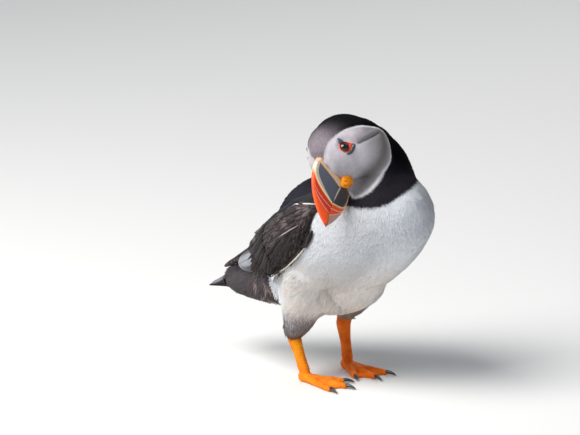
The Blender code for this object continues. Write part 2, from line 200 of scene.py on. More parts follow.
def gathered(items, key, width=1, kind=np.float32):
    """One property of all of a mesh's points, edges or corners."""
    values = np.empty(len(items) * width, kind)
    items.foreach_get(key, values)
    return values if width == 1 else values.reshape(-1, width)


def places(mesh):
    return gathered(mesh.vertices, "co", 3, float)


def normals(mesh):
    return gathered(mesh.vertex_normals, "vector", 3).astype(float)


def move_to(mesh, points):
    mesh.vertices.foreach_set("co", np.asarray(points, np.float32).ravel())
    mesh.update()


def note(mesh, name, values):
    """Writes a float, vector or colour for each point as a named attribute."""
    values = np.asarray(values, np.float32)
    width = 1 if values.ndim == 1 else values.shape[1]
    kind, key = {1: ("FLOAT", "value"), 3: ("FLOAT_VECTOR", "vector"), 4: ("FLOAT_COLOR", "color")}[width]
    mesh.attributes.new(name, kind, "POINT").data.foreach_set(key, values.ravel())


def prepared(obj, **marks):
    """Makes the ground of a coat: notes its marks, and unwraps it, to give each tuft its place there."""
    for name, values in marks.items():
        if name in ("tint", "fringe"):
            values = np.column_stack([values, np.ones(len(values))])
        note(obj.data, name, values)
    bpy.context.view_layer.objects.active = obj
    obj.select_set(True)
    obj.data.uv_layers.new(name="OFBake")
    bpy.ops.object.mode_set(mode="EDIT")
    bpy.ops.mesh.select_all(action="SELECT")
    bpy.ops.uv.smart_project(angle_limit=math.radians(66), island_margin=0.004)
    bpy.ops.object.mode_set(mode="OBJECT")


def ray_tree(mesh):
    faces = [tuple(face.vertices) for face in mesh.polygons]
    return BVHTree.FromPolygons([Vector(p) for p in places(mesh)], faces)


# The facial disc's outline in side view, x and z of the head's frame, from the gape up and back round.
DISC = (
    (5.0, -1.0), (6.0, 9.0), (5.2, 17.5), (4.6, 26.0), (-4.0, 30.2), (-16.0, 30.4), (-26.5, 26.4),
    (-36.5, 19.4), (-43.8, 12.4), (-46.6, 5.5), (-44.6, -3.5), (-37.5, -10.6), (-26.0, -14.2),
    (-12.0, -15.4), (-2.0, -15.4), (3.0, -9.0),
)
SKULL = (-24.0, 0.0, 10.0)  # middle of the head's ball
LIP_OF_EYE = 3.5  # radius of the opening between the lids
gaze = {side: unit(head_turn @ np.array((0.32, 0.87 * sign, 0.38))) for side, sign in SIDES.items()}


def about_eye(points, side):
    """Height of points over an eyeball's middle, along its gaze, and distance from that line, in mm."""
    from_eye = (points - np.array(middle("eye_" + side))) / MM
    rise = from_eye @ gaze[side]
    return rise, np.linalg.norm(from_eye - rise[:, None] * gaze[side], axis=1)


skin = fused("skin", SKIN_NODES, 0.25, 1.0, 24)
mesh = skin.data
points, outward = places(mesh), normals(mesh)
head, body = in_head(points), in_body(points)
(hx, hy, hz), (bx, by, bz) = head.T, body.T
from_skull = np.linalg.norm(head - SKULL, axis=1)
on_head = ramp(from_skull, 39, 30)
disc = depth_inside(head[:, [0, 2]], closed_curve(DISC))
disc = np.where((from_skull < 38) & (np.abs(hy) < 28), disc, -9.0)
crown_half = np.interp(hx, (-36, -25, -15, -7, -1, 2.5, 6), (0, 15, 12, 10, 7.4, 5.0, 3.0))
disc = np.minimum(disc, np.abs(hy) - 3.0 - (crown_half - 3.0) * ramp(hz, 10, 17))
bill_root = np.linalg.norm(head - np.clip(head, (0, -6, -16), (3, 6, 25)), axis=1)

# The coat is this deep over the skin, in mm.
below = ramp(from_skull, 60, 80)
coat = 0.50 + 0.35 * ramp(from_skull, 30, 62) + 0.35 * ramp(bz, 95, 65) * below
coat = coat - 0.15 * ramp(disc, -1, 2) + 0.9 * ramp(bill_root, 2.6, 0.6)
coat = coat + 0.3 * ramp(by, 16, 34) - 0.3 * ramp(bz, 46, 33) * below
points = points - outward * (coat[:, None] + 0.1) * MM

# A furrow runs back from the eye, the brow swells over it, and the disc's hind edge stands up as a rim.
furrow_z = 17.6 + 0.28 * (hx + 15.5)
across_furrow = (hz - furrow_z) / 1.05
furrow = ramp(hx, -15.5, -17.5) * ramp(hx, -42, -36) * ramp(np.abs(hy), 12, 16)
behind = ramp(hx, -8, -22)
fold = 0.45 * furrow * groove(hz - furrow_z - 2.6, 1.8) - furrow * groove(across_furrow, 1)
fold += 0.45 * (behind * groove(disc - 1.0, 1.1)) - 0.35 * behind * groove(disc + 1.2, 1.0)
points += outward * fold[:, None] * MM
for side in SIDES:
    rise, off_axis = about_eye(points, side)
    wanted = np.where(off_axis < 4.0, -1.5 + 4.0 * ramp(off_axis, 2.6, 4.0), 2.5)
    sink = (wanted - rise) * ramp(off_axis, 7.5, 4.5)
    points += np.where((rise > -1) & (off_axis < 9), sink, 0)[:, None] * gaze[side] * MM
fold_line = np.array(((-35.0, 76.5), (-31.0, 71.5), (-27.5, 66.5), (-23.0, 61.5), (-15.0, 57.0)))
from_fold = line_distance(body[:, [0, 2]], fold_line)
belly_fold = groove(from_fold, 2.2) * ramp(by, -10, -18) * ramp(bx, -12, -20) * ramp(bx, -37, -31)
points -= outward * (2.4 * belly_fold * below)[:, None] * MM
move_to(mesh, points)
outward = normals(mesh)

# ---- marks: tint of each point, from the bird's own regions, with painted shade and sheen where noted
# the forehead's own dark grey-brown, lightened by painted sheen
CROWN_FRONT_AND_SHEEN = (0.205, 0.176, 0.198)
CROWN_BACK = (0.006, 0.006, 0.007)
NAPE = (0.002, 0.002, 0.0025)
COLLAR = (0.020, 0.018, 0.023)
# the mantle's black, lifted slate-blue by painted sheen
MANTLE_AND_SHEEN = (0.022, 0.022, 0.030)
CHEEK_FRONT = (0.64, 0.595, 0.64)
CHEEK_BROW = (0.27, 0.245, 0.255)
CHEEK_MIDDLE = (0.41, 0.38, 0.39)
# the disc's darker grey at the rear, deepened by painted shade along the shadow line
CHEEK_REAR_AND_SHADE = (0.13, 0.115, 0.11)
# painted shade on the jaw, below the crease under the rosette
CHEEK_UNDER_SHADE = (0.20, 0.185, 0.185)
# painted shade in that crease
CHEEK_CREASE_SHADE = (0.07, 0.06, 0.06)
# painted shade in the furrow behind the eye
FURROW_SHADE = (0.05, 0.045, 0.045)
RIM_WHITE = (0.80, 0.79, 0.82)
RIM_AT_CROWN = (0.58, 0.545, 0.58)
BREAST = (0.77, 0.795, 0.84)
BELLY_CREAM = (0.80, 0.715, 0.645)
# painted shade on the lowest part of the belly
BELLY_LOW_SHADE = (0.34, 0.25, 0.19)
# painted shade in the fold between belly and thigh
BELLY_FOLD_SHADE = (0.20, 0.16, 0.14)
FLANK_GREY = (0.62, 0.60, 0.61)
THIGH_GREY = (0.19, 0.16, 0.17)
CUFF_BROWN = {"right": (0.14, 0.075, 0.048), "left": (0.10, 0.060, 0.042)}
RUMP = (0.078, 0.068, 0.073)
RUMP_BROWN = (0.27, 0.20, 0.175)

streak = noises(body * (1, 0.45, 0.55), 0.55)
fine, broad = noises(body, 1.6), noises(body, 0.16)

# Height over the trunk's long axis, and the height on each flank where white turns to black.
axis_y = (-81, -60, -40, -15, 15, 42, 66, 92)
axis_z = (149, 134, 121, 104, 85.5, 70.5, 62, 59)
over_axis = (bz - np.interp(by + 0.3 * (bz - 90), axis_y, axis_z)) * 0.83
dark_from = np.interp(by, (-80, -40, 10, 16, 21, 42, 66, 100), (32, 27, 24, 0, -26, -22, -13, -6))
ragged = 1.6 * fine + 2.2 * streak
collar_z = 153.2 - 12.5 * ramp(bx, 6, -38) - 11 * ramp(bx, 24, 50)
below_collar = collar_z - bz + 0.9 * fine
white = ramp(below_collar, -0.8, 0.8) * ramp(over_axis - dark_from - ragged, 1.2, -1.2)

# painted sheen on the forehead, fading to black over the crown
crown = blend(CROWN_BACK, (CROWN_FRONT_AND_SHEEN, ramp(hx - 0.2 * np.abs(hy) + 0.5 * broad, -34, -3) ** 2))
plumes = noises(np.column_stack([by * 0.42 + bz * 0.08, bz * 0.05, bx * 0.2]))
rump = blend(RUMP, (RUMP_BROWN, ramp(plumes, 0.05, 0.32) * ramp(by, 46, 36) * ramp(bz, 82, 72)))
tint = blend(
    MANTLE_AND_SHEEN,
    (NAPE, ramp(bz, 140, 158)),
    (COLLAR, ramp(by, -42, -60) * ramp(bz, 175, 150)),
    (crown, on_head * ramp(hz, 8, 16) * ramp(hx, -44, -30)),
    (rump, ramp(by, 14, 24) * ramp(over_axis, 14, 4)),
)
under = blend(
    BREAST,
    (FLANK_GREY, 0.55 * ramp(streak + 0.4 * fine, 0.0, 0.5) * ramp(bz, 115, 80)),
    (BELLY_CREAM, ramp(bz, 112, 68) * ramp(by, 14, -12) * (0.65 + 0.35 * ramp(broad, -0.4, 0.4))),
)
for side, sign in SIDES.items():
    cuff_z = (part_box("thigh_" + side)[0].z - stand[2]) / MM
    outer = ramp(bx * sign, 4, 12)
    mottled = 0.62 + 0.38 * ramp(streak + 0.5 * ramp(by, 6, -8), -0.25, 0.3)
    under = blend(
        under,
        (THIGH_GREY, ramp(bz + 6 * fine, cuff_z + 33, cuff_z + 15) * outer * mottled),
        (CUFF_BROWN[side], ramp(bz + 4 * fine, cuff_z + 13, cuff_z + 3) * outer),
    )
# painted shade: the breast darker towards its left side, turned from the key light; the right flank is also
# darkened above the belly
under = under * (1 - 0.24 * ramp(bx, -16, -32) * ramp(bz, 60, 80) - 0.30 * ramp(bx, -6, 26))[:, None]
# painted shade low on the belly and in its fold
under = blend(
    under,
    (BELLY_LOW_SHADE, 0.75 * ramp(bz + 3 * fine, 62, 49) * ramp(bx, -8, 8)),
    (BELLY_FOLD_SHADE, 0.5 * groove(from_fold, 0.9) * belly_fold),
)

SHADOW_LINE = np.array(((2, -12), (-8, -10.5), (-18, -8), (-28, -4), (-36, 3), (-41, 10), (-42, 17)), float)
shadow = line_distance(head[:, [0, 2]], SHADOW_LINE)
above = ramp(hz - furrow_z, -0.6, 0.8) * ramp(hz - furrow_z, 10, 3) * ramp(hx, -9, -20)
under_crease = -2.4 + 0.48 * (hx + 4) - hz
# the cheek darkens from front to rear, partly its own grey and partly painted shade
cheek = blend(
    CHEEK_FRONT,
    (CHEEK_MIDDLE, ramp(hx - 0.35 * (hz - 8), -14, -34)),
    (CHEEK_REAR_AND_SHADE, 0.85 * groove(shadow, 8.0) * ramp(hx, 4, -10)),
    (CHEEK_BROW, 0.85 * above * ramp(hx, -50, -38)),
    # painted shade on the jaw and in the crease above it
    (CHEEK_UNDER_SHADE, 0.55 * ramp(under_crease, -0.6, 1.2) * ramp(hx, -30, -16)),
    (CHEEK_CREASE_SHADE, 0.6 * groove(under_crease, 0.9) * ramp(hx, -22, -12)),
    # painted shade in the furrow
    (FURROW_SHADE, 0.85 * furrow * groove(across_furrow, 0.75)),
    (RIM_WHITE, 0.9 * (groove(disc - 1.1, 0.9) * ramp(hz + 0.4 * hx, 22, 10))),
    (RIM_AT_CROWN, ramp(disc, 3.0, 0.5) * ramp(hx, -20, -8) * ramp(hz, 15, 24)),
)
# painted light and shade: the cheek darker near the midline, where the face turns forward, and brighter out
# on its side
cheek = cheek * (0.87 + 0.35 * ramp(np.abs(hy), 10, 20))[:, None]
tint = blend(tint, (under, white), (np.minimum(cheek, 0.85), ramp(disc + 0.35 * fine, -0.35, 0.45)))
tint *= (1 + 0.05 * fine + 0.07 * streak)[:, None]

# ---- lie: plumage runs back from the bill, down the neck, along the body, and down the thighs
from_bill = unit(head - (20, 0, 4)) @ head_turn.T
downward = np.array((0.0, 0.35, -0.94))
round_breast = np.column_stack([0 * outward[:, 0], -outward[:, 2], outward[:, 1]]) + 0.3 * downward
lie = blend(
    downward,
    ((0.0, 0.87, -0.49), ramp(by, -45, 0)),
    (round_breast, ramp(by, -15, -50) * ramp(outward[:, 1], 0.3, -0.2) * ramp(bz, 160, 145)),
    (from_bill, on_head),
    ((0.0, 0.30, -0.95), 0.85 * (ramp(by, 14, 22) * ramp(by, 56, 40) * ramp(over_axis, 4, -10))),
)
for sign in SIDES.values():
    share = ramp(bz, 64, 48) * ramp(bx * sign, 6, 16) * ramp(by, 34, 20)
    lie = blend(lie, ((0.06 * sign, 0.12, -1.0), share))
ends = gathered(mesh.edges, "vertices", 2, np.int64)
for _ in range(30):
    lie = unit(lie - outward * (lie * outward).sum(1)[:, None])
    total = lie.copy()
    for axis in range(3):
        for here, there in ((0, 1), (1, 0)):
            total[:, axis] += np.bincount(ends[:, here], lie[ends[:, there], axis], len(lie))
    lie = total
wander = unit(np.cross(outward, lie)) * (0.22 * streak + 0.10 * fine)[:, None]
lie = unit(unit(lie) + wander * ramp(from_skull, 30, 60)[:, None])

# ---- tuft sizes in mm: width, length, height of the tip
size = blend(
    (0.55, 2.6, 0.30),
    ((0.70, 3.8, 0.45), ramp(from_skull, 30, 46)),
    ((0.66, 5.0, 0.48), ramp(from_skull, 46, 70)),
    ((0.74, 7.5, 0.80), ramp(bz, 95, 65) * below),
    ((0.50, 2.3, 0.24), ramp(disc, -1, 2)),
    ((0.42, 1.3, 0.32), ramp(bill_root, 3.5, 0.6)),
    ((1.40, 6.0, 0.65), ramp(over_axis, 18, 30) * ramp(from_skull, 50, 66)),
    ((0.80, 9.0, 0.80), ramp(by, 16, 30) * ramp(over_axis, 22, 6)),
    ((0.80, 7.0, 0.35), ramp(by, 66, 76)),
    ((0.80, 6.5, 0.95), ramp(bz, 56, 44) * below * ramp(by, 40, 30)),
    ((0.75, 4.2, 0.70), ramp(bz, 40, 33) * below),
)
meeting = groove(below_collar, 3.0) * ramp(bz, 128, 136) * ramp(from_skull, 32, 38)
meeting = np.maximum(meeting, groove(disc, 1.6))
size = size * (1 - meeting[:, None] * (0.1, 0.5, 0.3))
for side in SIDES:
    from_eye = np.linalg.norm(points - np.array(middle("eye_" + side)), axis=1) / MM
    size = blend(size, ((0.38, 1.2, 0.30), ramp(from_eye, 9, 6.5)))

# ---- patches: the coat is grown in pieces, each on its own patch of the skin, marked in this order
PATCHES = {"face_left": 0, "face_right": 1, "crown": 2, "neck": 3, "breast_left": 4, "breast_right": 5}
PATCHES.update(belly=6, back=7, rump=8, thighs=9)
patch = np.full(len(points), PATCHES["breast_left"], float)
for kind, where in (
    ("breast_right", bx < 0),
    ("belly", bz < 88),
    ("back", (white < 0.5) & (by > -60)),
    ("rump", (by > 17) & (over_axis < 16)),
    ("thighs", (bz < 56) & (np.abs(bx) > 8) & (by < 22)),
    ("neck", (white < 0.5) & (from_skull < 60) & (bz > 128)),
    ("crown", from_skull < 36),
    ("face_right", disc > -0.4),
    ("face_left", (disc > -0.4) & (hy > 0)),
):
    patch[where] = PATCHES[kind]
# No plumage grows between the lids or under the bill's root.
bare = np.zeros(len(points))
for side in SIDES:
    rise, off_axis = about_eye(points, side)
    bare = np.maximum(bare, (rise > -1) * (off_axis < 4.6))
prepared(skin, tint=np.clip(tint, 0.002, 1), lie=lie, nap=outward, size=size * MM, patch=patch, bare=bare)


class Wire:
    """An output inside a node tree. Arithmetic on it adds Math nodes to that tree."""

    def __init__(self, bench, socket):
        self.bench, self.socket = bench, socket

    def math(self, operation, *values):
        return self.bench.add("ShaderNodeMath", values, operation=operation)

    def __add__(self, other):
        return self.math("ADD", self, other)

    def __sub__(self, other):
        return self.math("SUBTRACT", self, other)

    def __mul__(self, other):
        return self.math("MULTIPLY", self, other)

    def __rsub__(self, other):
        return self.math("SUBTRACT", other, self)

    def __rtruediv__(self, other):
        return self.math("DIVIDE", other, self)

    def __abs__(self):
        return self.math("ABSOLUTE", self)

    __radd__, __rmul__ = __add__, __mul__


class Bench:
    """A node tree under construction."""

    def __init__(self, tree):
        self.tree = tree

    def feed(self, socket, value):
        if isinstance(value, Wire):
            self.tree.links.new(value.socket, socket)
        elif socket.type == "RGBA":
            socket.default_value = (*value, 1.0)
        else:
            socket.default_value = value

    def add(self, kind, values=(), output=None, **settings):
        """Makes a node: its settings first, then its sockets, in order or by name. Returns one output."""
        made = self.tree.nodes.new(kind)
        for key, value in settings.items():
            setattr(made, key, value)
        sockets = [socket for socket in made.inputs if socket.enabled]
        if isinstance(values, dict):
            sockets = [next(socket for socket in sockets if socket.name == key) for key in values]
            values = values.values()
        for socket, value in zip(sockets, values):
            self.feed(socket, value)
        outputs = [socket for socket in made.outputs if socket.enabled]
        return Wire(self, next((s for s in outputs if s.name == output), outputs[0]))


class Finish(Bench):
    """A material: a Principled shader with its fixed values, and the nodes that feed the rest."""

    def __init__(self, name, **fixed):
        self.material = bpy.data.materials.new(name)
        self.material.use_nodes = True
        super().__init__(self.material.node_tree)
        self.paint(**fixed)

    def paint(self, **fed):
        for key, value in fed.items():
            self.feed(self.tree.nodes["Principled BSDF"].inputs[key.replace("_", " ")], value)
        return self.material

    def read(self, name, output="Fac"):
        return self.add("ShaderNodeAttribute", output=output, attribute_name=name)

    def place(self):
        return self.add("ShaderNodeTexCoord", output="Object")

    def speckle(self, scale, detail=2.0, at=None):
        """Noise from 0 to 1 over the piece, with its grain at scale."""
        at = at or self.place()
        return self.add("ShaderNodeTexNoise", {"Vector": at, "Scale": scale, "Detail": detail}, "Fac")

    def rise(self, value, start, end):
        """0 below start and 1 above end, smooth between them, also with start above end."""
        values = {"Value": value, "From Min": start, "From Max": end}
        return self.add("ShaderNodeMapRange", values, interpolation_type="SMOOTHSTEP")

    def mix(self, colour, *layers, way="MIX"):
        """A colour, then others laid over it, each with its share."""
        for other, share in layers:
            values = {"Factor": share, "A": colour, "B": other}
            colour = self.add("ShaderNodeMix", values, data_type="RGBA", blend_type=way)
        return colour

    def dimmed(self, colour, strength):
        grey = self.add("ShaderNodeCombineColor", (strength, strength, strength))
        return self.mix(colour, (grey, 1.0), way="MULTIPLY")

    def bump(self, height, depth):
        return self.add("ShaderNodeBump", {"Height": height, "Distance": depth * MM, "Strength": 1.0})


def plumage(name, lift, roughness, specular=0.18):
    """Feathers in the root's own tint, with painted shade where they come out from under their neighbours.
    """
    finish = Finish(name, Specular_IOR_Level=specular)
    shade = finish.read("shade")
    along = finish.read("along")
    grain = finish.speckle(900.0)
    # painted shade: each tuft darker towards its root
    strength = (0.90 + 0.10 * finish.rise(along, 0.0, 0.7)) * (0.92 + lift * shade) * (0.94 + 0.12 * grain)
    colour = finish.dimmed(finish.read("tint", "Color"), strength)
    return finish.paint(Base_Color=colour, Roughness=roughness + 0.12 * grain)


finish = Finish("skin_finish", Roughness=0.8, Specular_IOR_Level=0.2)
grain = finish.speckle(700.0)
# painted shade: the skin, seen only between the tufts, is dimmed below their tint
colour = finish.dimmed(finish.read("tint", "Color"), 0.80 + 0.15 * grain)
mesh.materials.append(finish.paint(Base_Color=colour, Normal=finish.bump(grain, 0.15)))
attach(skin, "root")
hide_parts(*SKIN_NODES)
skin_tree = ray_tree(mesh)

# ---------------------------------------------------------------- coat
# The small feathers that clothe the skin, from velvet on the face to long loose plumes on the rump.
# Each is a thin closed lance that leaves the skin at its root and lies back over the next. Geometry
# Nodes plant them on the skin's patches along its lie, and each keeps its root's tint.


def lance():
    """A feather tip of unit length along Y, unit width along X, whose tip is a unit above its root."""
    bm = bmesh.new()
    root = bm.verts.new((0, 0, -0.25))
    rings = []
    for y, half, z in ((0.26, 0.40, 0.30), (0.66, 0.50, 0.78)):
        corners = ((-half, y, z - 0.03), (half, y, z - 0.03), (0, y, z + 0.06))
        rings.append([bm.verts.new(corner) for corner in corners])
    tip = bm.verts.new((0, 1, 1.0))
    for i in range(3):
        j = (i + 1) % 3
        bm.faces.new((root, rings[0][j], rings[0][i]))
        bm.faces.new((rings[0][i], rings[0][j], rings[1][j], rings[1][i]))
        bm.faces.new((rings[1][i], rings[1][j], tip))
    bmesh.ops.recalc_face_normals(bm, faces=bm.faces)
    made = mesh_of(bm, "lance")
    spots = places(made)
    note(made, "along", spots[:, 1])
    note(made, "leaf", spots * (1, 1, 0) - (0, 0.5, 0))
    made.shade_smooth()
    return made


def tuft_tree():
    """Scatters a shape over the patch of a ground mesh that has the given number."""
    tree = bpy.data.node_groups.new("tufts", "GeometryNodeTree")
    kinds = {"Ground": "Geometry", "Tuft": "Object", "Patch": "Float", "Spacing": "Float", "Stray": "Float"}
    kinds.update({"Patch size": "Float", "Seed": "Int", "Finish": "Material"})
    sockets = {}
    for name, kind in kinds.items():
        socket = tree.interface.new_socket(name, in_out="INPUT", socket_type="NodeSocket" + kind)
        sockets[name] = socket.identifier
    tree.interface.new_socket("Coat", in_out="OUTPUT", socket_type="NodeSocketGeometry")
    bench = Bench(tree)
    given = tree.nodes.new("NodeGroupInput")
    wire = {name: Wire(bench, given.outputs[name]) for name in sockets}

    def named(name, kind="FLOAT_VECTOR"):
        return bench.add("GeometryNodeInputNamedAttribute", {"Name": name}, data_type=kind)

    def store(geometry, name, value, kind="FLOAT_VECTOR", domain="POINT"):
        values = {"Geometry": geometry, "Name": name, "Value": value}
        return bench.add("GeometryNodeStoreNamedAttribute", values, data_type=kind, domain=domain)

    def drawn(low, high, offset):
        values = {"Min": low, "Max": high, "Seed": wire["Seed"] + offset}
        return bench.add("FunctionNodeRandomValue", values, data_type="FLOAT")

    def vector(x, y, z):
        return bench.add("ShaderNodeCombineXYZ", (x, y, z))

    values = {"A": named("patch", "FLOAT"), "B": wire["Patch"], "Epsilon": 0.3}
    own = bench.add("FunctionNodeCompare", values, data_type="FLOAT", operation="EQUAL")
    values = {
        "Mesh": wire["Ground"],
        "Selection": own,
        "Distance Min": wire["Spacing"],
        "Density Max": 3.0 / (wire["Spacing"] * wire["Spacing"]),
        "Density Factor": 1.0 - named("bare", "FLOAT"),
        "Seed": wire["Seed"],
    }
    dots = bench.add("GeometryNodeDistributePointsOnFaces", values, distribute_method="POISSON")
    dots = store(dots, "root_uv", named("OFBake"))
    dots = bench.add("GeometryNodeRemoveAttribute", (dots, "OFBake"))
    dots = store(dots, "shade", drawn(0.0, 1.0, 1), "FLOAT")
    axes = (named("nap"), named("lie"))
    facing = bench.add("FunctionNodeAxesToRotation", axes, primary_axis="Z", secondary_axis="Y")
    stray = wire["Stray"]
    lift, roll, swing = drawn(-0.5, 1.0, 5), drawn(-1.0, 1.0, 2), drawn(-1.0, 1.0, 3)
    turn = vector(lift * 0.06, roll * stray * 0.35, swing * stray)
    turn = bench.add("FunctionNodeEulerToRotation", (turn,))
    facing = bench.add("FunctionNodeRotateRotation", (facing, turn), rotation_space="LOCAL")
    length = drawn(0.78, 1.22, 4)
    scale = (named("size"), vector(1.0, length, length))
    values = {
        "Points": dots,
        "Instance": bench.add(
            "GeometryNodeObjectInfo", {"Object": wire["Tuft"]}, "Geometry", transform_space="ORIGINAL"
        ),
        "Rotation": facing,
        "Scale": bench.add("ShaderNodeVectorMath", scale, operation="MULTIPLY"),
    }
    coat = bench.add("GeometryNodeRealizeInstances", (bench.add("GeometryNodeInstanceOnPoints", values),))
    values = {"Vector": named("leaf"), "Scale": wire["Patch size"]}
    leaf = bench.add("ShaderNodeVectorMath", values, operation="SCALE")
    uv = bench.add("ShaderNodeVectorMath", (named("root_uv"), leaf), operation="ADD")
    coat = store(coat, "OFBake", uv, "FLOAT2", "CORNER")
    for name in ("leaf", "root_uv", "lie", "size", "patch", "bare"):
        coat = bench.add("GeometryNodeRemoveAttribute", (coat, name))
    coat = bench.add("GeometryNodeSetMaterial", {"Geometry": coat, "Material": wire["Finish"]})
    bench.feed(tree.nodes.new("NodeGroupOutput").inputs["Coat"], coat)
    return tree, sockets


def grown(name, ground, share, **inputs):
    """Plants tufts on a copy of the ground and keeps them as a plain mesh. Their normals turn by a share
    towards those of the ground at each root, so that the coat shades as one soft form."""
    obj = new_object(name, ground.data.copy())
    step = obj.modifiers.new("grow", "NODES")
    step.node_group = tufts
    for key, value in inputs.items():
        step[tuft_sockets[key.replace("_", " ")]] = value
    made = finished_mesh(obj)
    nap = gathered(made.attributes["nap"].data, "vector", 3)
    eased = unit(normals(made) * (1 - share) + nap * share)
    made.attributes.remove(made.attributes["nap"])
    made.shade_smooth()
    made.normals_split_custom_set_from_vertices(eased.tolist())
    return obj


def keep(piece, slot, *nodes, finish=None):
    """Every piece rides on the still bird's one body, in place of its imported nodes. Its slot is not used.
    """
    if finish:
        piece.data.materials.append(finish)
    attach(piece, "root")
    if nodes:
        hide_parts(*nodes)


TUFT_PATCH = 0.003  # across each tuft's place on the unwrap
tuft_shape = new_object("lance", lance())
tufts, tuft_sockets = tuft_tree()
dark_plumage = plumage("dark_plumage", 0.35, 0.85, 0.02)
pale_plumage = plumage("pale_plumage", 0.12, 0.8)
for kind, spacing, stray, finish, slot in (
    ("face_left", 0.42, 0.14, pale_plumage, "face_plumage"),
    ("face_right", 0.46, 0.14, pale_plumage, "face_plumage"),
    ("crown", 0.43, 0.14, dark_plumage, "dark_plumage"),
    ("neck", 0.60, 0.16, dark_plumage, "dark_plumage"),
    ("breast_left", 0.50, 0.13, pale_plumage, "body_plumage"),
    ("breast_right", 0.50, 0.13, pale_plumage, "body_plumage"),
    ("belly", 0.56, 0.17, pale_plumage, "body_plumage"),
    ("back", 0.85, 0.16, dark_plumage, "dark_plumage"),
    ("rump", 0.80, 0.20, dark_plumage, "body_plumage"),
    ("thighs", 0.70, 0.26, pale_plumage, "body_plumage"),
):
    number = PATCHES[kind]
    inputs = {"Tuft": tuft_shape, "Patch": float(number), "Spacing": spacing * MM, "Stray": stray}
    inputs.update(Patch_size=TUFT_PATCH, Seed=number + 1, Finish=finish)
    keep(grown("coat_" + kind, skin, 0.88, **inputs), slot)

# ---------------------------------------------------------------- eyes
# Dark glossy eyeballs with a slight cornea, seated in their sockets. Each has a fleshy red ring round
# the opening and two slate horn plates, above and below, that rest on the velvet of the face.


def lofted(name, rings, closed=False, **marks):
    """A closed skin over rings of points. Its ends draw to points, unless the last ring meets the first."""
    rings = np.asarray(rings, float)
    count, around = rings.shape[:2]
    spots = rings.reshape(-1, 3)
    index = np.arange(count * around).reshape(count, around)
    after = np.roll(index, -1, axis=1)
    pairs = [(i, (i + 1) % count) for i in range(count if closed else count - 1)]
    faces = [quad for i, j in pairs for quad in zip(index[i], index[j], after[j], after[i])]
    marks = {key: np.asarray(value, float).reshape(count * around, -1) for key, value in marks.items()}
    if not closed:
        spots = np.vstack([spots, rings[0].mean(axis=0), rings[-1].mean(axis=0)])
        faces += [(len(spots) - 2, a, b) for a, b in zip(index[0], after[0])]
        faces += [(len(spots) - 1, b, a) for a, b in zip(index[-1], after[-1])]
        for key, value in marks.items():
            marks[key] = np.vstack([value, value[:around].mean(axis=0), value[-around:].mean(axis=0)])
    made = bpy.data.meshes.new(name)
    made.from_pydata(spots.tolist(), [], [tuple(map(int, face)) for face in faces])
    bm = bmesh.new()
    bm.from_mesh(made)
    bmesh.ops.recalc_face_normals(bm, faces=bm.faces)
    bm.to_mesh(made)
    bm.free()
    for key, value in marks.items():
        note(made, key, value[:, 0] if value.shape[1] == 1 else value)
    made.shade_smooth()
    return new_object(name, made)


def cast(tree, start, direction, fallback=None):
    """Where a ray from start first meets a surface, and the normal there."""
    spot, normal, _, _ = tree.ray_cast(Vector(start), Vector(direction))
    if spot is None:
        spot, normal, _, _ = tree.find_nearest(Vector(start if fallback is None else fallback))
    return np.array(spot), np.array(normal)


def joined(name, parts):
    """Several objects as one."""
    with bpy.context.temp_override(active_object=parts[0], selected_editable_objects=parts):
        bpy.ops.object.join()
    parts[0].name = name
    return parts[0]


def turned(count):
    return np.linspace(0, 2 * math.pi, count, endpoint=False)


def mottled(name, main, fleck, start, end, scale, detail, roughness, gain, depth, **fixed):
    """A finish whose fine grain mixes its two colours, and roughens and pits the surface."""
    finish = Finish(name, **fixed)
    grain = finish.speckle(scale, detail)
    colour, relief = finish.mix(main, (fleck, finish.rise(grain, start, end))), finish.bump(grain, depth)
    return finish.paint(Base_Color=colour, Roughness=roughness + gain * grain, Normal=relief)


# Outlines in mm seen along the gaze, from the eyeball's middle: forwards, then up.
RING_OUTLINE = (
    (-1.2, 4.25), (1.2, 4.15), (3.0, 3.2), (4.1, 0.8), (3.9, -1.7), (2.6, -3.6), (0.3, -4.5), (-2.1, -4.3),
    (-3.6, -3.2), (-4.9, -2.7), (-6.9, -2.5), (-5.8, -1.2), (-3.7, 1.6),
)
UPPER_PLATE = (
    (-0.2, 8.3), (0.8, 6.6), (1.9, 4.7), (1.8, 3.5), (0.0, 3.75), (-2.2, 3.5), (-1.9, 4.9), (-1.1, 6.8),
)
LOWER_PLATE = (
    (-7.3, -3.2), (-4.2, -3.6), (-2.0, -4.9), (0.6, -5.1), (3.0, -4.4), (2.6, -5.6), (0.0, -6.8),
    (-3.4, -6.4), (-6.4, -4.9),
)
# Sections of the ring, from lip to outline, and of a plate, from its heart out and back beneath: share
# of the way and height in mm over the velvet, which for a plate's top is a share of its dome.
RING_SECTION = (
    (-0.1, -1.3), (-0.04, -0.1), (0.1, 0.28), (0.3, 0.42), (0.6, 0.40), (0.88, 0.22), (1.0, -0.25),
    (0.9, -1.4),
)
PLATE_TOP = ((0.15, 1), (0.5, 0.9), (0.8, 0.6), (0.96, 0.2))
PLATE_BACK = ((1.0, -0.3), (0.9, -1.2), (0.3, -1.2))
LID_RIM = 2.95  # height of the lids' rim over the eyeball's middle
VELVET = 0.35  # how far the face's velvet stands over its skin

finish = Finish("eye_gloss", Specular_IOR_Level=0.2, Coat_Weight=1.0, Coat_Roughness=0.015, Coat_IOR=1.38)
off, fibre = finish.read("off"), finish.speckle(1500.0, 3.0)
iris = finish.mix((0.012, 0.009, 0.009), ((0.034, 0.025, 0.022), finish.rise(fibre, 0.3, 0.7)))
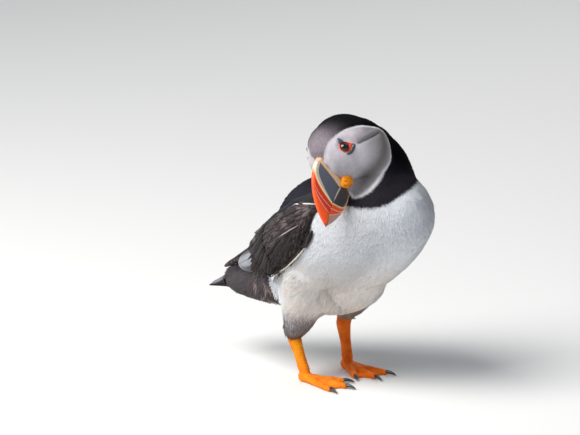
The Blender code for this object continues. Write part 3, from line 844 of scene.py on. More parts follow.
# Pupil, iris and the dark rim round it, by distance in mm from the line of the gaze.
pupil, iris_rim = (0.002, 0.002, 0.003), (0.012, 0.010, 0.012)
colour = finish.mix(pupil, (iris, finish.rise(off, 2.05, 2.25)), (iris_rim, finish.rise(off, 2.85, 3.1)))
eye_gloss = finish.paint(Base_Color=colour, Roughness=0.12 + 0.1 * fibre)

flesh = {"Specular_IOR_Level": 0.45, "Subsurface_Weight": 0.08, "Subsurface_Scale": 0.001}
reds = ((0.78, 0.075, 0.015), (0.42, 0.022, 0.008))
lid_red = mottled("lid_red", *reds, 0.35, 0.75, 2600.0, 2.0, 0.42, 0.15, 0.12, **flesh)
slates = ((0.035, 0.045, 0.065), (0.10, 0.12, 0.16))
plate_horn = mottled("eye_plate", *slates, 0.3, 0.75, 1500.0, 3.0, 0.42, 0.15, 0.15, Specular_IOR_Level=0.4)

for side, sign in SIDES.items():
    centre, aim = np.array(middle("eye_" + side)), gaze[side]
    forward = unit(head_turn @ np.array((0.941, -0.346 * sign, 0.0)))
    forward = unit(forward - aim * (forward @ aim))
    upward = np.cross(aim, forward) * (1 if np.cross(aim, forward) @ head_turn[:, 2] > 0 else -1)
    low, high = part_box("eye_" + side)
    radius = (high.x - low.x) / 2 / MM

    def seen(x, y, rise):
        """A point given in mm forwards, up and out along the gaze."""
        return centre + (forward * x + upward * y + aim * rise) * MM

    def surface_rise(x, y):
        """Height in mm of the face's velvet over the eyeball's middle; near the lids, of the lids' rim."""
        spot, _ = cast(skin_tree, seen(x, y, 9.0), -aim)
        near = ramp(np.hypot(x, y), 5.2, 3.6)
        return ((spot - centre) @ aim / MM + VELVET) * (1 - near) + LID_RIM * near

    turns, slopes = turned(40), np.linspace(0, math.pi, 30)[1:-1]
    rings = []
    for slope in slopes:
        wide, tall = radius * math.sin(slope), radius * math.cos(slope) + 0.35 * ramp(slope, 0.75, 0.1)
        rings.append([seen(wide * math.cos(a), wide * math.sin(a), tall) for a in turns])
    from_pupil = np.where(slopes < 1.6, radius * np.sin(slopes), 9.0)
    eyeball = lofted("eyeball_" + side, rings, off=np.repeat(from_pupil, len(turns)))
    keep(eyeball, "eye_gloss", "eye_" + side, finish=eye_gloss)

    outline = closed_curve(RING_OUTLINE, 6)
    rings = []
    for edge in outline[np.argsort(np.arctan2(outline[:, 1], outline[:, 0]))]:
        inner = edge / np.hypot(*edge) * LIP_OF_EYE
        section = [(*(inner + (edge - inner) * share), rise) for share, rise in RING_SECTION]
        rings.append([seen(x, y, surface_rise(x, y) + rise) for x, y, rise in section])
    keep(lofted("lid_ring_" + side, rings, closed=True), "face_plumage", finish=lid_red)

    plates = []
    for line, dome in ((UPPER_PLATE, 0.75), (LOWER_PLATE, 0.65)):
        edge = closed_curve(line, 5)
        heart = edge.mean(axis=0)
        rings = []
        for share, rise in [(share, rise * dome) for share, rise in PLATE_TOP] + list(PLATE_BACK):
            spots = heart + (edge - heart) * share
            rings.append([seen(x, y, surface_rise(x, y) + 0.15 + rise) for x, y in spots])
        plates.append(lofted("eye_plate", rings))
    keep(joined("eye_plates_" + side, plates), "claw_horn", finish=plate_horn)

# ---------------------------------------------------------------- bill
# The deep horn bill: each half is one closed shell whose sections fan from the base to the tip. The
# ridged buff cere at its base, the cream rim of the slate shield and the grooves of the red outer
# part are worked into the shell, and the paint follows the same lines.

CULMEN = ((2.4, 25.4), (21.5, 24.0), (35.0, 6.0), (35.6, -13.4))
MOUTH = ((3.0, 0.0), (12.0, -0.5), (24.0, -4.5), (34.6, -12.6))
KEEL = ((-0.9, -12.3), (7.0, -17.2), (20.0, -17.0), (33.4, -13.2))
BILL_WIDTH = 5.7  # from the midline to the bill's side at the gape


def bezier(corners, t):
    a, b, c, d = (np.array(corner) for corner in corners)
    t = np.asarray(t)[..., None]
    return a * (1 - t) ** 3 + 3 * b * t * (1 - t) ** 2 + 3 * c * t**2 * (1 - t) + d * t**3


def bill_shell(name, edge, inward, ridge, lines, relief):
    """Half the bill, from an edge curve to the mouth, with the distance in mm from each of its lines."""
    steps = np.concatenate([[-0.12, -0.04], np.linspace(0, 0.90, 112), np.linspace(0.907, 0.995, 14)])
    t, s = np.meshgrid(steps, np.linspace(0, 1, 36) ** 1.3, indexing="ij")
    place = np.maximum(t, 0)
    outer, mouth = bezier(edge, place), bezier(MOUTH, place)
    reach = np.linalg.norm(outer - mouth, axis=2, keepdims=True)
    mouth = mouth + (outer - mouth) / reach * np.minimum(0.25, 0.2 * reach)
    back = np.clip(t / -0.12, 0, 1)[..., None]
    outer, mouth = outer + np.array(inward) * back, mouth + np.array((-6.0, 0.0)) * back
    flat = outer + (mouth - outer) * s[..., None]
    marks = {}
    for key, line in lines.items():
        way = np.linspace(0, 1, 60) ** 1.6
        at = np.clip(line(way), 0, 1)
        path = bezier(edge, at) * (1 - way)[:, None] + bezier(MOUTH, at) * way[:, None]
        gap = line_distance(flat.reshape(-1, 2), path).reshape(t.shape)
        marks[key] = np.where(t < line(s), -gap, gap)
    width = BILL_WIDTH * (1 - place) ** 0.8 + 0.9 * place * np.clip((1 - place) / 0.08, 0, 1) ** 0.6
    swell = ridge + (1 - ridge) * np.sin(s * math.pi / 2) ** 0.8
    swell = swell * np.clip(s / 0.03, 0, 1) ** 0.5
    side = width * swell + relief(t, marks) * ramp(s, 0, 0.06) * ramp(t, 0.97, 0.85)
    side[:, -1] -= 0.25
    half = np.stack([flat[..., 0], side, flat[..., 1]], axis=2)
    whole = np.concatenate([half, half[:, :0:-1] * (1, -1, 1)], axis=1)
    marks.update(along=t, down=s)
    marks = {key: np.concatenate([value, value[:, :0:-1]], axis=1) for key, value in marks.items()}
    return lofted(name, from_head(whole), **marks)


class Horn(Finish):
    """Horn with its lines wavering slightly, cloudy and finely grained across them."""

    def __init__(self, name, lines):
        super().__init__(name, Specular_IOR_Level=0.35, Coat_Weight=0.06, Coat_Roughness=0.3)
        self.grain = self.speckle(450.0, 4.0)
        self.t, self.s = self.read("along"), self.read("down")
        at = self.add("ShaderNodeCombineXYZ", (self.t * 60.0, self.s * 3.0, 0.0))
        self.streaks = self.speckle(1.0, 4.0, at)
        wobble = (self.grain - 0.5) * 0.35
        self.far = [self.read(key) + wobble for key in lines]

    def band(self, distance, half, soft):
        """1 within half of a line and 0 beyond half plus soft."""
        return self.rise(abs(distance), half + soft, half)

    def finished(self, colour, gloss, depth):
        colour = self.dimmed(colour, 0.74 + 0.30 * self.grain + 0.22 * self.streaks)
        bump = self.bump(self.streaks + 0.5 * self.grain, depth)
        return self.paint(Base_Color=colour, Roughness=gloss + 0.16 * self.grain, Normal=bump)


UPPER_LINES = {
    "cere": lambda s: 0.060 + 0.055 * s,
    "cream": lambda s: 0.10 + 0.46 * s**0.38,
    "first": lambda s: 0.12 + 0.53 * s**0.22,
    "second": lambda s: 0.14 + 0.63 * s**0.22,
}
LOWER_LINES = {
    "cream": lambda s: 0.56 * np.maximum(s - 0.05, 0) ** 0.15,
    "second": lambda s: 0.66 * np.maximum(s - 0.02, 0) ** 0.12,
    "third": lambda s: 0.30 + 0.50 * s**0.3,
}


def upper_relief(t, far):
    cere = ramp(-far["cere"], -0.1, 0.35) * (1.0 + 0.14 * np.cos(far["cere"] * 2 * math.pi / 1.05))
    rim = 0.16 * groove(far["cream"] + 0.3, 0.5) - 0.22 * groove(far["cream"] - 1.05, 0.28)
    return cere + rim - 0.28 * groove(far["first"], 0.33) - 0.28 * groove(far["second"], 0.33)


def lower_relief(t, far):
    rim = 0.3 * ramp(t, 0.05, 0.01) + 0.14 * groove(far["cream"], 0.5)
    return rim - 0.22 * groove(far["second"], 0.33) - 0.2 * groove(far["third"], 0.33)


BUFF, BUFF_EDGE, SLATE = (0.58, 0.41, 0.26), (0.52, 0.22, 0.08), (0.095, 0.106, 0.140)
CREAM, ORANGE, DEEP_RED = (0.80, 0.66, 0.46), (0.90, 0.25, 0.03), (0.56, 0.024, 0.006)
RED, PALE_GROOVE, GROOVE_SHADE = (0.90, 0.072, 0.010), (0.72, 0.50, 0.40), (0.10, 0.02, 0.012)

horn = Horn("bill_upper", UPPER_LINES)
t, s, rise, band = horn.t, horn.s, horn.rise, horn.band
cere, cream, first, second = horn.far
shield = cream + 2.0 * rise(s, 0.95, 0.25)
colour = horn.mix(
    RED,
    (DEEP_RED, rise(second, 0.2, -0.8) * rise(s, 0.02, 0.12) * 0.75),
    ((0.95, 0.105, 0.012), rise(second, 0.2, 2.5) * 0.8),
    (PALE_GROOVE, band(first, 0.10, 0.22) * rise(s, 0.02, 0.14) * 0.9),
    (PALE_GROOVE, band(second, 0.10, 0.22) * rise(s, 0.02, 0.14) * 0.9),
    (GROOVE_SHADE, band(cream - 1.1, 0.08, 0.22) * rise(s, 0.04, 0.2) * 0.8),
    (ORANGE, rise(cream, 1.0, 0.75)),
    (CREAM, rise(cream, 0.45, 0.05)),
    ((0.50, 0.43, 0.37), rise(cream, -0.5, -1.3) * rise(s, 0.8, 0.5)),
    ((0.03, 0.03, 0.04), rise(shield, -0.75, -0.95) * rise(s, 0.05, 0.12)),
    (SLATE, rise(shield, -0.95, -1.30) * rise(s, 0.05, 0.12)),
    (BUFF, rise(cere, 0.15, -0.05)),
    (BUFF_EDGE, band(cere + 0.1, 0.10, 0.2) * 0.7),
    (BUFF_EDGE, rise(t, 0.016, 0.004) * 0.85),
    ((0.42, 0.10, 0.06), rise(t, 0.92, 0.97)),
)
upper = bill_shell("bill_upper_shell", CULMEN, (-7.0, -7.0), 0.25, UPPER_LINES, upper_relief)
keep(upper, "bill_horn", "bill_upper", finish=horn.finished(colour, 0.36, 0.10))

horn = Horn("bill_lower", LOWER_LINES)
t, s, rise, band = horn.t, horn.s, horn.rise, horn.band
cream, second, third = horn.far
colour = horn.mix(
    RED,
    ((0.50, 0.27, 0.21), rise(third, -0.1, 0.5)),
    (CREAM, band(third, 0.12, 0.25) * 0.8),
    (CREAM, band(second, 0.12, 0.25) * 0.9),
    (ORANGE, rise(cream, 0.9, 0.6)),
    (CREAM, rise(cream, 0.35, 0.0) * 0.8),
    ((0.055, 0.045, 0.045), rise(cream, -0.55, -0.9)),
    ((0.45, 0.20, 0.10), rise(s, 0.26, 0.10) * rise(cream, -0.3, -0.9)),
    ((0.30, 0.05, 0.03), rise(t, 0.03, 0.008) * 0.8),
    ((0.66, 0.54, 0.46), rise(s, 0.93, 0.975) * rise(t, 0.55, 0.35) * 0.8),
)
lower = bill_shell("bill_lower_shell", KEEL, (-5.0, 5.0), 0.30, LOWER_LINES, lower_relief)
keep(lower, "bill_horn", "bill_lower", finish=horn.finished(colour, 0.40, 0.12))

# The wrinkled yellow rosettes of bare skin, seated over the corners of the mouth.
finish = Finish("rosette_skin", Specular_IOR_Level=0.2, Subsurface_Weight=0.1, Subsurface_Scale=0.0015)
crease, pores = finish.read("crease"), finish.speckle(1600.0, 3.0)
colour = finish.mix(
    (0.84, 0.29, 0.003),
    ((0.76, 0.21, 0.003), finish.rise(pores, 0.35, 0.7)),
    # painted shade in the wrinkles' creases
    ((0.42, 0.11, 0.004), finish.rise(crease, 0.25, 0.8) * 0.9),
)
relief = finish.bump(pores, 0.12)
rosette_skin = finish.paint(Base_Color=colour, Roughness=0.45 + 0.15 * pores, Normal=relief)
SPLAY = math.radians(24)  # how far each rosette faces forwards
ROSETTE_LONG, ROSETTE_TALL, ROSETTE_DEEP = 5.0, 4.7, 2.6  # from its middle to its edges, in mm
for side, sign in SIDES.items():
    centre = in_head(np.array(middle("rosette_" + side))) + (0.5, 0, 0)
    facing = unit(np.array((math.sin(SPLAY), sign * math.cos(SPLAY), 0)))
    fore = np.array((facing[1] * sign, -facing[0] * sign, 0))
    rings, creases = [], []
    for slope in np.linspace(0, math.pi, 34)[1:-1]:
        turns = turned(56)
        reach = np.sin(slope) * (1 + 0.06 * np.cos(3 * turns + 0.6) + 0.04 * np.cos(5 * turns))
        x, z = ROSETTE_LONG * reach * np.cos(turns), ROSETTE_TALL * reach * np.sin(turns)
        fold = noises(np.column_stack([x * 0.30, z * 0.52, np.full(len(x), 3.1 * sign)]))
        rib = 0.5 + 0.5 * np.cos(np.hypot(x - 1.5, z) * 3.1 + 7.0 * fold)
        face = max(math.cos(slope), 0.0) ** 0.5
        rise = ROSETTE_DEEP * np.cos(slope) + 0.38 * (1 - rib**2) * face * np.cos(slope)
        spots = centre + x[:, None] * fore + z[:, None] * (0, 0, 1) + rise[:, None] * facing
        rings.append(from_head(spots))
        creases.append(rib**3 * face)
    rosette = lofted("rosette_pad_" + side, rings, crease=creases)
    keep(rosette, "rosette_skin", "rosette_" + side, finish=rosette_skin)

# ---------------------------------------------------------------- wings
# Each folded wing is a shrunken bed of the imported slab, clothed in closed vanes: scapulars and coverts
# scattered over it like shingles, then the long quills laid one over another along its lower edge, over
# the rump to the tip, and the loose plumes nested behind it, whose pale grey is painted sheen. Vanes have a
# shaft, barbs and pale edges: worn on the wing, a painted highlight on the tail.


def vane():
    """A closed covert of unit length along Y, unit width along X, whose tip is a unit above its root."""
    rows = [(0.04, 0.22, -0.3), (0.28, 0.46, 0.35), (0.58, 0.50, 0.75), (0.82, 0.33, 0.95), (0.98, 0.07, 1)]
    across = np.array((-1, -0.4, 0.4, 1, 0))
    camber = np.array((-0.30, 0.06, 0.06, -0.30, -0.22))
    rings = [[(half * e, y, z + c) for e, c in zip(across, camber)] for y, half, z in rows]
    spots = np.array(rings).reshape(-1, 3)
    leaf = spots * (1, 1, 0) - (0, 0.5, 0)
    return lofted("vane", rings, along=spots[:, 1], edge=np.tile(across, len(rows)), leaf=leaf)


def vane_finish(name, barb=1.0):
    """Barbed vanes: the root's tint, pale at the edge, which is wear on the wing and painted highlight on
    the tail, streaked along the barbs, with a fine shaft.
    """
    finish = Finish(name, Specular_IOR_Level=0.15, Sheen_Weight=0.03, Sheen_Roughness=0.4)
    along, edge, shade = finish.read("along"), finish.read("edge"), finish.read("shade")
    wide = abs(edge)
    at = finish.add("ShaderNodeCombineXYZ", ((along + 0.35 * wide) * 26.0, edge * 0.8, shade * 17.0))
    barbs = finish.speckle(1.0, 3.0, at)
    spot = finish.speckle(420.0)
    # the pale edge: wear on the wing's vanes, painted highlight on the tail's
    edge_wear_and_highlight = finish.rise(wide + 0.30 * (spot - 0.5) + 0.18 * (along - 0.5), 0.78, 1.02)
    edge_wear_and_highlight = edge_wear_and_highlight.math("MAXIMUM", edge_wear_and_highlight, finish.rise(along + 0.06 * (spot - 0.5), 0.93, 0.99))
    strength = (0.55 + barb * 0.90 * barbs) * (0.62 + 0.76 * shade)
    colour = finish.mix(
        finish.dimmed(finish.read("tint", "Color"), strength),
        (finish.read("fringe", "Color"), edge_wear_and_highlight * finish.read("wear")),
        ((0.006, 0.005, 0.005), finish.rise(wide, 0.07, 0.03) * 0.5),
    )
    return finish.paint(Base_Color=colour, Roughness=0.50 + 0.25 * barbs)


ACROSS = np.array((-1, -0.5, 0, 0.5, 1, 0.5, 0, -0.5))  # round a quill's section, over it and back beneath
ON_TOP = np.array((0, 1, 1, 1, 0, 0, 0, 0))


def beside(root, tip):
    """The direction square to the way from root to tip."""
    return np.array((-(tip - root)[1], (tip - root)[0])) / np.linalg.norm(tip - root)


def quill(rings, along, tint, fringe, wear, shade):
    """A closed vane over rings of eight points, with its looks noted on it."""
    count = len(rings) * len(ACROSS)
    return lofted(
        "quill",
        rings,
        along=np.repeat(along, len(ACROSS)),
        edge=np.tile(ACROSS, len(rings)),
        tint=np.tile((*tint, 1), (count, 1)),
        fringe=np.tile((*fringe, 1), (count, 1)),
        wear=np.full(count, wear),
        shade=np.full(count, shade),
    )


def quill_coat(name, quills, finish):
    """Quills as one piece, each with its own cell of the unwrap."""
    coat = joined(name, quills)
    mesh, cells = coat.data, math.ceil(math.sqrt(len(quills)))
    corner = gathered(mesh.loops, "vertex_index", 1, np.int64)
    along, edge = (gathered(mesh.attributes[key].data, "value")[corner] for key in ("along", "edge"))
    number = corner // (len(mesh.vertices) // len(quills))
    u, v = (number % cells + 0.5 + 0.4 * edge) / cells, (number // cells + 0.1 + 0.8 * along) / cells
    uv = np.column_stack([u, v]).astype(np.float32)
    mesh.uv_layers.new(name="OFBake").data.foreach_set("uv", uv.ravel())
    mesh.materials.clear()
    mesh.materials.append(finish)
    return coat


vane_shape = vane()
wing_plumage = vane_finish("wing_feathers")
finish = Finish("wing_bed", Roughness=0.8, Specular_IOR_Level=0.2)
bed_colour = finish.mix((0.012, 0.010, 0.010), ((0.035, 0.029, 0.028), finish.speckle(300.0)))
bed_finish = finish.paint(Base_Color=bed_colour)
WING_LINE = np.array((0.0, 0.70, -0.71))  # the way the coverts lie, back along the folded wing
LOW_EDGE_Y = (-41, -34, -25, -8, 10, 21, 29, 38, 52, 68, 84)
LOW_EDGE_Z = (139.6, 130.2, 114.2, 96.7, 83.8, 76.4, 80.7, 86.1, 83, 76, 70.2)
HIGH_Y = (-23.5, -12.8, -2.3, 15, 32.5, 41.9, 48, 54.3, 63.8, 74.9, 87.8)
HIGH_Z = (145.6, 146.7, 143.6, 133.7, 121.5, 113.6, 107.1, 99.7, 89.6, 79.2, 72.2)
PAD_MIDDLE, PAD_RADII = np.array((19.0, 43.5, 81.5)), np.array((17.5, 17.0, 9.8))  # under the loose plumes
BROWN, DARK = (0.040, 0.032, 0.031), (0.013, 0.011, 0.012)
BED_DEPTH = 0.9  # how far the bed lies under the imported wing, to leave room for the coverts
CAST_FROM, CAST_TO = 75, 12  # from the midline: outside the wing, and inside the body
OVER_SKIN = 0.8  # by which a quill clears the body's skin, and so its coat


def hem(y, drop):
    """Height of the wing's hem, which hangs a little further in front, less a drop."""
    return np.interp(y, LOW_EDGE_Y, LOW_EDGE_Z) - drop - 1.6 * ramp(y, 12, -4)


for side, sign in SIDES.items():
    bed = fused("wing_bed_" + side, ["wing_" + side], 0, 0.8, 8)
    points = places(bed.data) - normals(bed.data) * BED_DEPTH * MM
    move_to(bed.data, points)
    outward, body = normals(bed.data), in_body(points)
    by, bz = body[:, 1], body[:, 2]
    from_low = bz - np.interp(by, LOW_EDGE_Y, LOW_EDGE_Z)
    from_high = np.interp(by, HIGH_Y, HIGH_Z) - bz
    share = np.clip(from_low / np.maximum(from_low + from_high, 1), 0, 1)
    rough = noises(body, 0.22) + 0.5 * noises(body * (1, 0.7, 0.5))
    scapular_z = np.interp(by, (-12, -4.3, 8.1, 17.8, 27.5, 42), (139, 133, 126.7, 119.8, 115.9, 104))
    scapular = ramp(bz - scapular_z, -1, 2) * ramp(by, 52, 40)
    low_front = ramp(by, -6, -14) * ramp(share, 0.7, 0.4)
    tint = blend(
        (0.030, 0.023, 0.024),
        # painted sheen: lighter mauve-brown patches over the dark coverts
        ((0.125, 0.098, 0.100), ramp(rough, -0.15, 0.45)),
        ((0.017, 0.013, 0.013), np.maximum(ramp(share, 0.65, 0.35) * 0.9, low_front)),
        ((0.017, 0.017, 0.022), scapular),
    )
    way = blend(WING_LINE, ((0.10 * sign, 0.46, -0.88), ramp(share, 0.65, 0.15) * 0.9))
    way = way + np.array((0, 0.25, 0.30)) * rough[:, None]
    sizes = blend(
        (2.6, 12.0, 0.9),
        ((2.9, 6.5, 0.8), ramp(by, -8, -22)),
        ((2.8, 13.0, 1.0), ramp(by, 8, 24)),
        ((4.0, 10.0, 0.6), scapular),
    )
    # No coverts grow on the wing's inner face, behind the quills' line, or near the rear's two edges.
    rear = np.interp(bz, (74, 80, 84, 88, 92, 97, 104, 112, 125), (8, 11, 16, 23, 29, 32, 35, 40, 50))
    hidden = (outward[:, 0] * sign < 0.05 + 0.25 * ramp(bz, 108, 114)) | (by > rear)
    hidden |= (from_high < 4 + 4 * ramp(by, 5, 15)) | (from_low < 9 * ramp(by, 3, 12))
    bpy.ops.object.select_all(action="DESELECT")
    prepared(
        bed,
        tint=tint,
        fringe=blend((0.17, 0.135, 0.125), ((0.05, 0.05, 0.062), scapular)),
        wear=np.clip(0.45 - 0.30 * scapular + 0.25 * ramp(rough, 0.0, 0.4), 0, 1),
        lie=unit(way - outward * (way * outward).sum(1)[:, None]),
        nap=outward,
        size=sizes * MM,
        patch=np.where(hidden, 1.0, 0.0),
        bare=np.zeros(len(points)),
    )
    keep(bed, "wing_feathers", "wing_" + side, finish=bed_finish)
    inputs = {"Tuft": vane_shape, "Patch": 0.0, "Spacing": 1.5 * MM, "Stray": 0.12, "Patch_size": 0.010}
    coverts = grown("coverts_" + side, bed, 0.35, Seed=31 + sign, Finish=wing_plumage, **inputs)
    keep(coverts, "wing_feathers")

    # The long quills, laid on the bed: root and tip in side view, half width, lift over the bed.
    bed_tree, quills = ray_tree(bed.data), []

    def laid(root, tip, half, lift, tint, fringe, wear, bow=0, tilt=0.4, blunt=0.72, loose=0, even=0):
        """A closed quill vane between two points of the side view, following the bed or the body under it.
        A loose one is wrapped on the soft round pad that shows behind the wing. An even one bridges what
        lies under it in one smooth arch."""
        root, tip = np.array(root, float), np.array(tip, float)
        aside, along = beside(root, tip), np.array([0.01, *np.linspace(0.06, 0.9, 14), 0.95, 0.985, 0.998])
        rings, plan = [], []
        for a in along:
            wide = half * min(1.0, 0.35 + 2.2 * a) * (1 - max(0.0, (a - blunt) / (1 - blunt)) ** 2.3) ** 0.5
            spine = root + (tip - root) * a + aside * bow * 4 * a * (1 - a)
            section = []
            for e, up in zip(ACROSS, ON_TOP):
                spot = from_body((sign * CAST_FROM, *(spine + aside * wide * e)))
                inner = from_body((sign * CAST_TO, *(spine + aside * wide * e)))
                on_wing, wing_normal = cast(bed_tree, spot, (-sign, 0, 0), inner)
                on_body, body_normal = cast(skin_tree, spot, (-sign, 0, 0), inner)
                body_normal = unit(body_normal)
                on_body = on_body + body_normal * OVER_SKIN * MM
                reach = on_wing[0] * sign > on_body[0] * sign
                spot[0] = on_wing[0] if reach else on_body[0]
                rise = lift + tilt * e + 0.30 * (1 - abs(e)) + (0.12 if up else -0.06)
                normal = wing_normal if reach else body_normal
                section.append(spot + unit(normal * (1, 0.3, 0.3)) * rise * MM)
            rings.append(section)
            plan.append([(0, *(spine + aside * wide * e)) for e in ACROSS])
        rings = np.array(rings)
        for _ in range(3):
            rings[1:-1, :, 0] = (rings[:-2, :, 0] + 2 * rings[1:-1, :, 0] + rings[2:, :, 0]) / 4
        if loose:
            pad, radii = PAD_MIDDLE * (sign, 1, 1), PAD_RADII * (sign, 1, 1)
            flat = (np.reshape(plan, (-1, 3)) - pad) / radii
            flat[:, 1:] /= np.maximum(1, np.hypot(flat[:, 1], flat[:, 2]))[:, None]
            flat[:, 0] = np.sqrt(np.maximum(0, 1 - (flat[:, 1:] ** 2).sum(1)))
            flat *= 1 + 0.06 * lift + 0.02 * np.tile(ON_TOP, len(rings))[:, None]
            rings = from_body(pad + flat * radii).reshape(rings.shape)
        if even:
            middles = rings[:, :, 0].mean(axis=1)
            arch = np.polyval(np.polyfit(along, middles, 2), along)
            arch = (arch + ((middles - arch) * sign).max() * sign * 0.7)[:, None]
            rings = from_body(plan)
            rings[:, :, 0] = arch + sign * (0.25 * ON_TOP - 0.1) * MM
        shade = 0.5 + 0.4 * noise(Vector((root[0] * 0.7, root[1] * 0.7, half)))
        quills.append(quill(rings, along, tint, fringe, wear, shade))

    # Primaries run from under the coverts to the tip over the rump.
    for i in range(8):
        s = i / 7
        root, tip, tint = (28 + 6 * s, 97 + 11 * s), (91 - 25 * s, 67.2 + 13 * s), DARK if i else BROWN
        laid(root, tip, 2.4, 0.2 + 0.16 * i, tint, (0.15, 0.12, 0.11), 0.5, 1.5 - 1.5 * s)
    # The rounded plumes nested behind the folded wing: their pale grey and light outer border are painted
    # sheen on dark feathers.
    for i in range(4):
        tip, grey = (60.5 - 4.0 * i, 76.5 + 1.9 * i), 0.32 - 0.03 * i
        border = (0.10, 0.10, 0.12) if i else (0.52, 0.53, 0.57)
        tint = (grey, grey * 1.04, grey * 1.13)
        laid((38, 88), tip, 10.2 - 1.5 * i, i, tint, border, 0.8, 0, 0, 0.35, loose=1)
    # Secondaries close the wing's rounded end, dark and long.
    for i in range(12):
        s = i / 11
        rounded = ((37.5, 35.5, 29, 17), (103, 95.5, 89.5, 80.5))
        tip = np.array([np.interp(s, (0, 0.3, 0.6, 1), keys) for keys in rounded])
        root, tint = tip + (-12 + 6 * s, 13), DARK if i % 3 else BROWN
        laid(root, tip, 1.9, 1.7 + 0.12 * (i % 3), tint, (0.10, 0.085, 0.085), 0.5, -1.0)
    # Greater coverts fan down to the pale ragged lower edge, and a white point ends it.
    for i in range(16):
        y = -21.5 + 29 * i / 15
        tip = np.array((y, hem(y, 0.9 * (i % 2))))
        root, tint = tip + (-5.5, 12), BROWN if i % 2 else DARK
        laid(root, tip, 1.6, 1.5 + 0.12 * (i % 3), tint, (0.16, 0.125, 0.10), 0.7, -1.0)
    for start, end in ((-21.5, -4.5), (-9.0, 6.0), (1.5, 14.5)):
        ends = (start, hem(start, 1.4)), (end, hem(end, 1.4))
        laid(*ends, 0.6, 2.2, (0.50, 0.43, 0.37), (0.66, 0.60, 0.54), 0.6, -0.9, 0.1, even=1)
    laid((8.0, 82.6), (19.5, 74.0), 1.8, 4.4, (0.66, 0.65, 0.64), (0.72, 0.72, 0.72), 0.5, even=1)
    # A white line edges the scapulars in front, and a pale streak of painted highlight crosses the coverts.
    laid((-27, 138.6), (-6, 135.2), 0.55, 1.6, (0.74, 0.72, 0.70), (0.8, 0.78, 0.76), 0.5, 0.8, 0.1)
    laid((-18, 124), (0, 112.5), 0.5, 1.9, (0.30, 0.27, 0.28), (0.4, 0.36, 0.37), 0.5, 0.0, 0.1)
    keep(quill_coat("quills_" + side, quills, wing_plumage), "wing_feathers")

# ---------------------------------------------------------------- legs and feet
# Scaly orange skin over the shanks, toes and webs, one closed piece to a side, with broad scutes down
# the front and smaller scales on the webs. The claws are separate dark horn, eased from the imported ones.

SHANK_SCUTE, TOE_SCUTE = 1.9, 1.7  # from one scute to the next, in mm

for side in SIDES:
    warm = side == "right"
    limb = fused("limb_" + side, ["leg_" + side, "foot_" + side], 0.16, 0.55, 5)
    points, outward = places(limb.data), normals(limb.data)
    body = in_body(points)
    bx, by, bz = body.T
    foot_top = (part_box("foot_" + side)[1].z - stand[2]) / MM
    on_shank = ramp(bz, foot_top - 1, foot_top + 2)
    front = ramp(-outward[:, 1], 0.0, 0.6)
    ring = 0.5 + 0.5 * np.cos(bz * 2 * math.pi / SHANK_SCUTE + 1.2 * np.sin(bx * 1.1))
    toe_ring = 0.5 + 0.5 * np.cos(by * 2 * math.pi / TOE_SCUTE + 0.3 * bx)
    scute = on_shank * front * (ring**3) + (1 - on_shank) * ramp(outward[:, 2], 0.2, 0.7) * toe_ring**4
    lift = -0.16 * scute + 0.10 * noises(body, 1.3) * (1 - front * on_shank) + 0.65 * on_shank
    lift *= ramp(bz, 0.05, 0.6)
    move_to(limb.data, points + outward * lift[:, None] * MM)
    note(limb.data, "scute", scute)
    # painted highlight: yellow high on the right shank
    note(limb.data, "shank_highlight", ramp(bz, 10, 30) * warm)
    finish = Finish("leg_skin_" + side, Specular_IOR_Level=0.18)
    finish.paint(Subsurface_Weight=0.06, Subsurface_Scale=0.002)
    values = {"Vector": finish.place(), "Scale": 900.0}
    scales = finish.add("ShaderNodeTexVoronoi", values, "Distance", feature="DISTANCE_TO_EDGE")
    blotch = finish.speckle(160.0, 3.0)
    bright = (0.96, 0.27, 0.003) if warm else (0.94, 0.20, 0.003)
    deep = (0.80, 0.15, 0.002) if warm else (0.74, 0.11, 0.002)
    colour = finish.mix(
        # painted highlight mixed in high on the right shank
        finish.mix(bright, ((0.98, 0.40, 0.004), finish.read("shank_highlight"))),
        (deep, finish.rise(blotch, 0.35, 0.75)),
        ((0.36, 0.055, 0.004), finish.rise(scales, 0.10, 0.02) * 0.35),
        ((0.40, 0.07, 0.004), finish.read("scute") * 0.30),
    )
    relief = finish.bump(finish.rise(scales, 0.0, 0.16), 0.12)
    leg_skin = finish.paint(Base_Color=colour, Roughness=0.42 + 0.2 * blotch, Normal=relief)
    keep(limb, "leg_skin", "leg_" + side, "foot_" + side, finish=leg_skin)

    blacks = ((0.012, 0.012, 0.014), (0.07, 0.062, 0.058))
    gloss = {"Specular_IOR_Level": 0.5, "Coat_Weight": 0.15, "Coat_Roughness": 0.25}
    claw_horn = mottled("claw_horn_" + side, *blacks, 0.45, 0.8, 700.0, 4.0, 0.32, 0.2, 0.08, **gloss)
    for toe in ("outer", "middle", "inner"):
        claw = fused(f"talon_{side}_{toe}", [f"claw_{side}_{toe}"], 0.05, 0.28, 3)
        keep(claw, "claw_horn", f"claw_{side}_{toe}", finish=claw_horn)

# ---------------------------------------------------------------- tail
# Twelve short quills fan over a shrunken bed of the imported tail, the middle pair on top. Each is a
# closed slate vane with a pale border that is painted highlight along its edges, laid on the bed from root
# to tip.

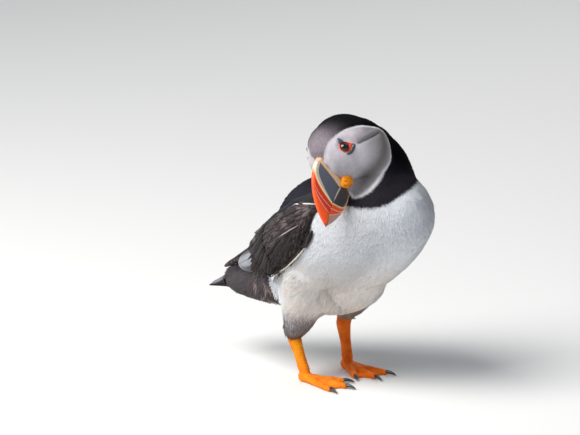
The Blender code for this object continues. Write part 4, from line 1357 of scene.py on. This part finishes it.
tail_bed = fused("tail_bed", ["tail"], 0, 0.7, 6)
points, outward = places(tail_bed.data), normals(tail_bed.data)
points = points - outward * np.minimum(0.6, 0.25 + 0.02 * np.abs(in_body(points)[:, [1]] - 104)) * MM
move_to(tail_bed.data, points)
keep(tail_bed, "tail_feathers", "tail", finish=bed_finish)
bed_tree, quills = ray_tree(tail_bed.data), []
for i in range(12):
    rank, sign = 5 - i // 2, 1 if i % 2 else -1
    root = np.array((sign * (1.0 + 1.1 * rank), 76.0))
    tip = np.array((sign * (2.2 + 2.9 * rank), 104.3 - 0.42 * rank**1.7))
    aside, along = beside(root, tip), np.array([0.01, *np.linspace(0.08, 0.9, 10), 0.95, 0.985, 0.998])
    rings = []
    for a in along:
        wide = 3.1 * min(1.0, 0.5 + 1.6 * a) * (1 - max(0.0, (a - 0.7) / 0.3) ** 2.2) ** 0.5
        section = []
        for e, up in zip(ACROSS, ON_TOP):
            x, y = root + (tip - root) * a + aside * wide * e
            spot, _ = cast(bed_tree, from_body((x, y, 80)), (0, 0, -1), from_body((x, y, 54)))
            rise = 0.25 + 0.16 * (5 - rank) + 0.25 * (1 - abs(e)) + (0.1 if up else -0.06)
            section.append((*from_body((x, y, 0))[:2], spot[2] + rise * MM))
        rings.append(section)
    # the pale fringe is painted highlight along the tail quills' edges
    quills.append(quill(rings, along, (0.17, 0.16, 0.185), (0.32, 0.305, 0.33), 0.80, 0.4 + 0.08 * rank))
keep(quill_coat("rectrices", quills, vane_finish("tail_feathers", 0.7)), "tail_feathers")

# ---------------------------------------------------------------- floor, light and camera
# A plain pale floor that runs out past the view, broad soft light from the upper left, and the long lens.

CAMERA_AZIMUTH, CAMERA_HEIGHT = math.radians(-48), math.radians(14)
CAMERA_DISTANCE = 3.6
FIELD_WIDTH = 0.419  # what the lens takes in at the bird
AIM_RIGHT, AIM_UP = -26.7, 113.8  # mm from the stand to the middle of the view
sine, cosine, level = math.sin(CAMERA_AZIMUTH), math.cos(CAMERA_AZIMUTH), math.cos(CAMERA_HEIGHT)
camera_right = Vector((cosine, sine, 0))
camera_back = Vector((sine * level, -cosine * level, math.sin(CAMERA_HEIGHT)))
camera_up = camera_back.cross(camera_right)
aim = Vector(stand) + (camera_right * AIM_RIGHT + camera_up * AIM_UP) * MM
lens = bpy.data.cameras.new("camera")
lens.sensor_width = 36
lens.lens = 36 * CAMERA_DISTANCE / FIELD_WIDTH
lens.clip_start, lens.clip_end = 0.1, 50
camera = new_object("camera", lens)
turn = Matrix((camera_right, camera_up, camera_back)).transposed().to_4x4()
camera.matrix_world = Matrix.Translation(aim + camera_back * CAMERA_DISTANCE) @ turn
bpy.context.scene.camera = camera

bm = bmesh.new()
bmesh.ops.create_grid(bm, x_segments=1, y_segments=1, size=9.0)
floor = new_object("floor", mesh_of(bm, "floor"))
finish = Finish("floor_finish", Roughness=0.9, Specular_IOR_Level=0.1)
floor.data.materials.append(finish.paint(Base_Color=(0.70, 0.70, 0.69)))

BREAST_HEIGHT = 0.12  # what the lamps face


def soft_light(name, toward, distance, across, power, colour):
    """A square lamp, seen from the bird in a direction given as right, up and back of the camera."""
    lamp = bpy.data.lights.new(name, "AREA")
    lamp.size = across
    lamp.energy = power
    lamp.color = colour
    obj = new_object(name, lamp)
    right, up, back = toward
    direction = (camera_right * right + Vector((0, 0, 1)) * up + camera_back * back).normalized()
    obj.location = Vector(stand) + Vector((0, 0, BREAST_HEIGHT)) + direction * distance
    obj.rotation_euler = direction.to_track_quat("Z", "Y").to_euler()


soft_light("key", (-0.85, 1.0, 0.50), 1.6, 1.1, 46, (1.0, 0.985, 0.96))
soft_light("fill", (0.9, 0.35, 0.9), 2.0, 1.6, 3, (0.93, 0.96, 1.0))
soft_light("rim", (0.4, 0.9, -0.9), 1.8, 1.2, 8, (1.0, 0.97, 0.92))
world = bpy.data.worlds.new("sky")
world.use_nodes = True
sky = world.node_tree.nodes["Background"].inputs
sky["Color"].default_value = (0.80, 0.88, 1.0, 1.0)
sky["Strength"].default_value = 0.30
bpy.context.scene.world = world
bpy.context.scene.view_settings.view_transform = "Standard"

bpy.data.objects.remove(tuft_shape)
bpy.data.objects.remove(vane_shape)
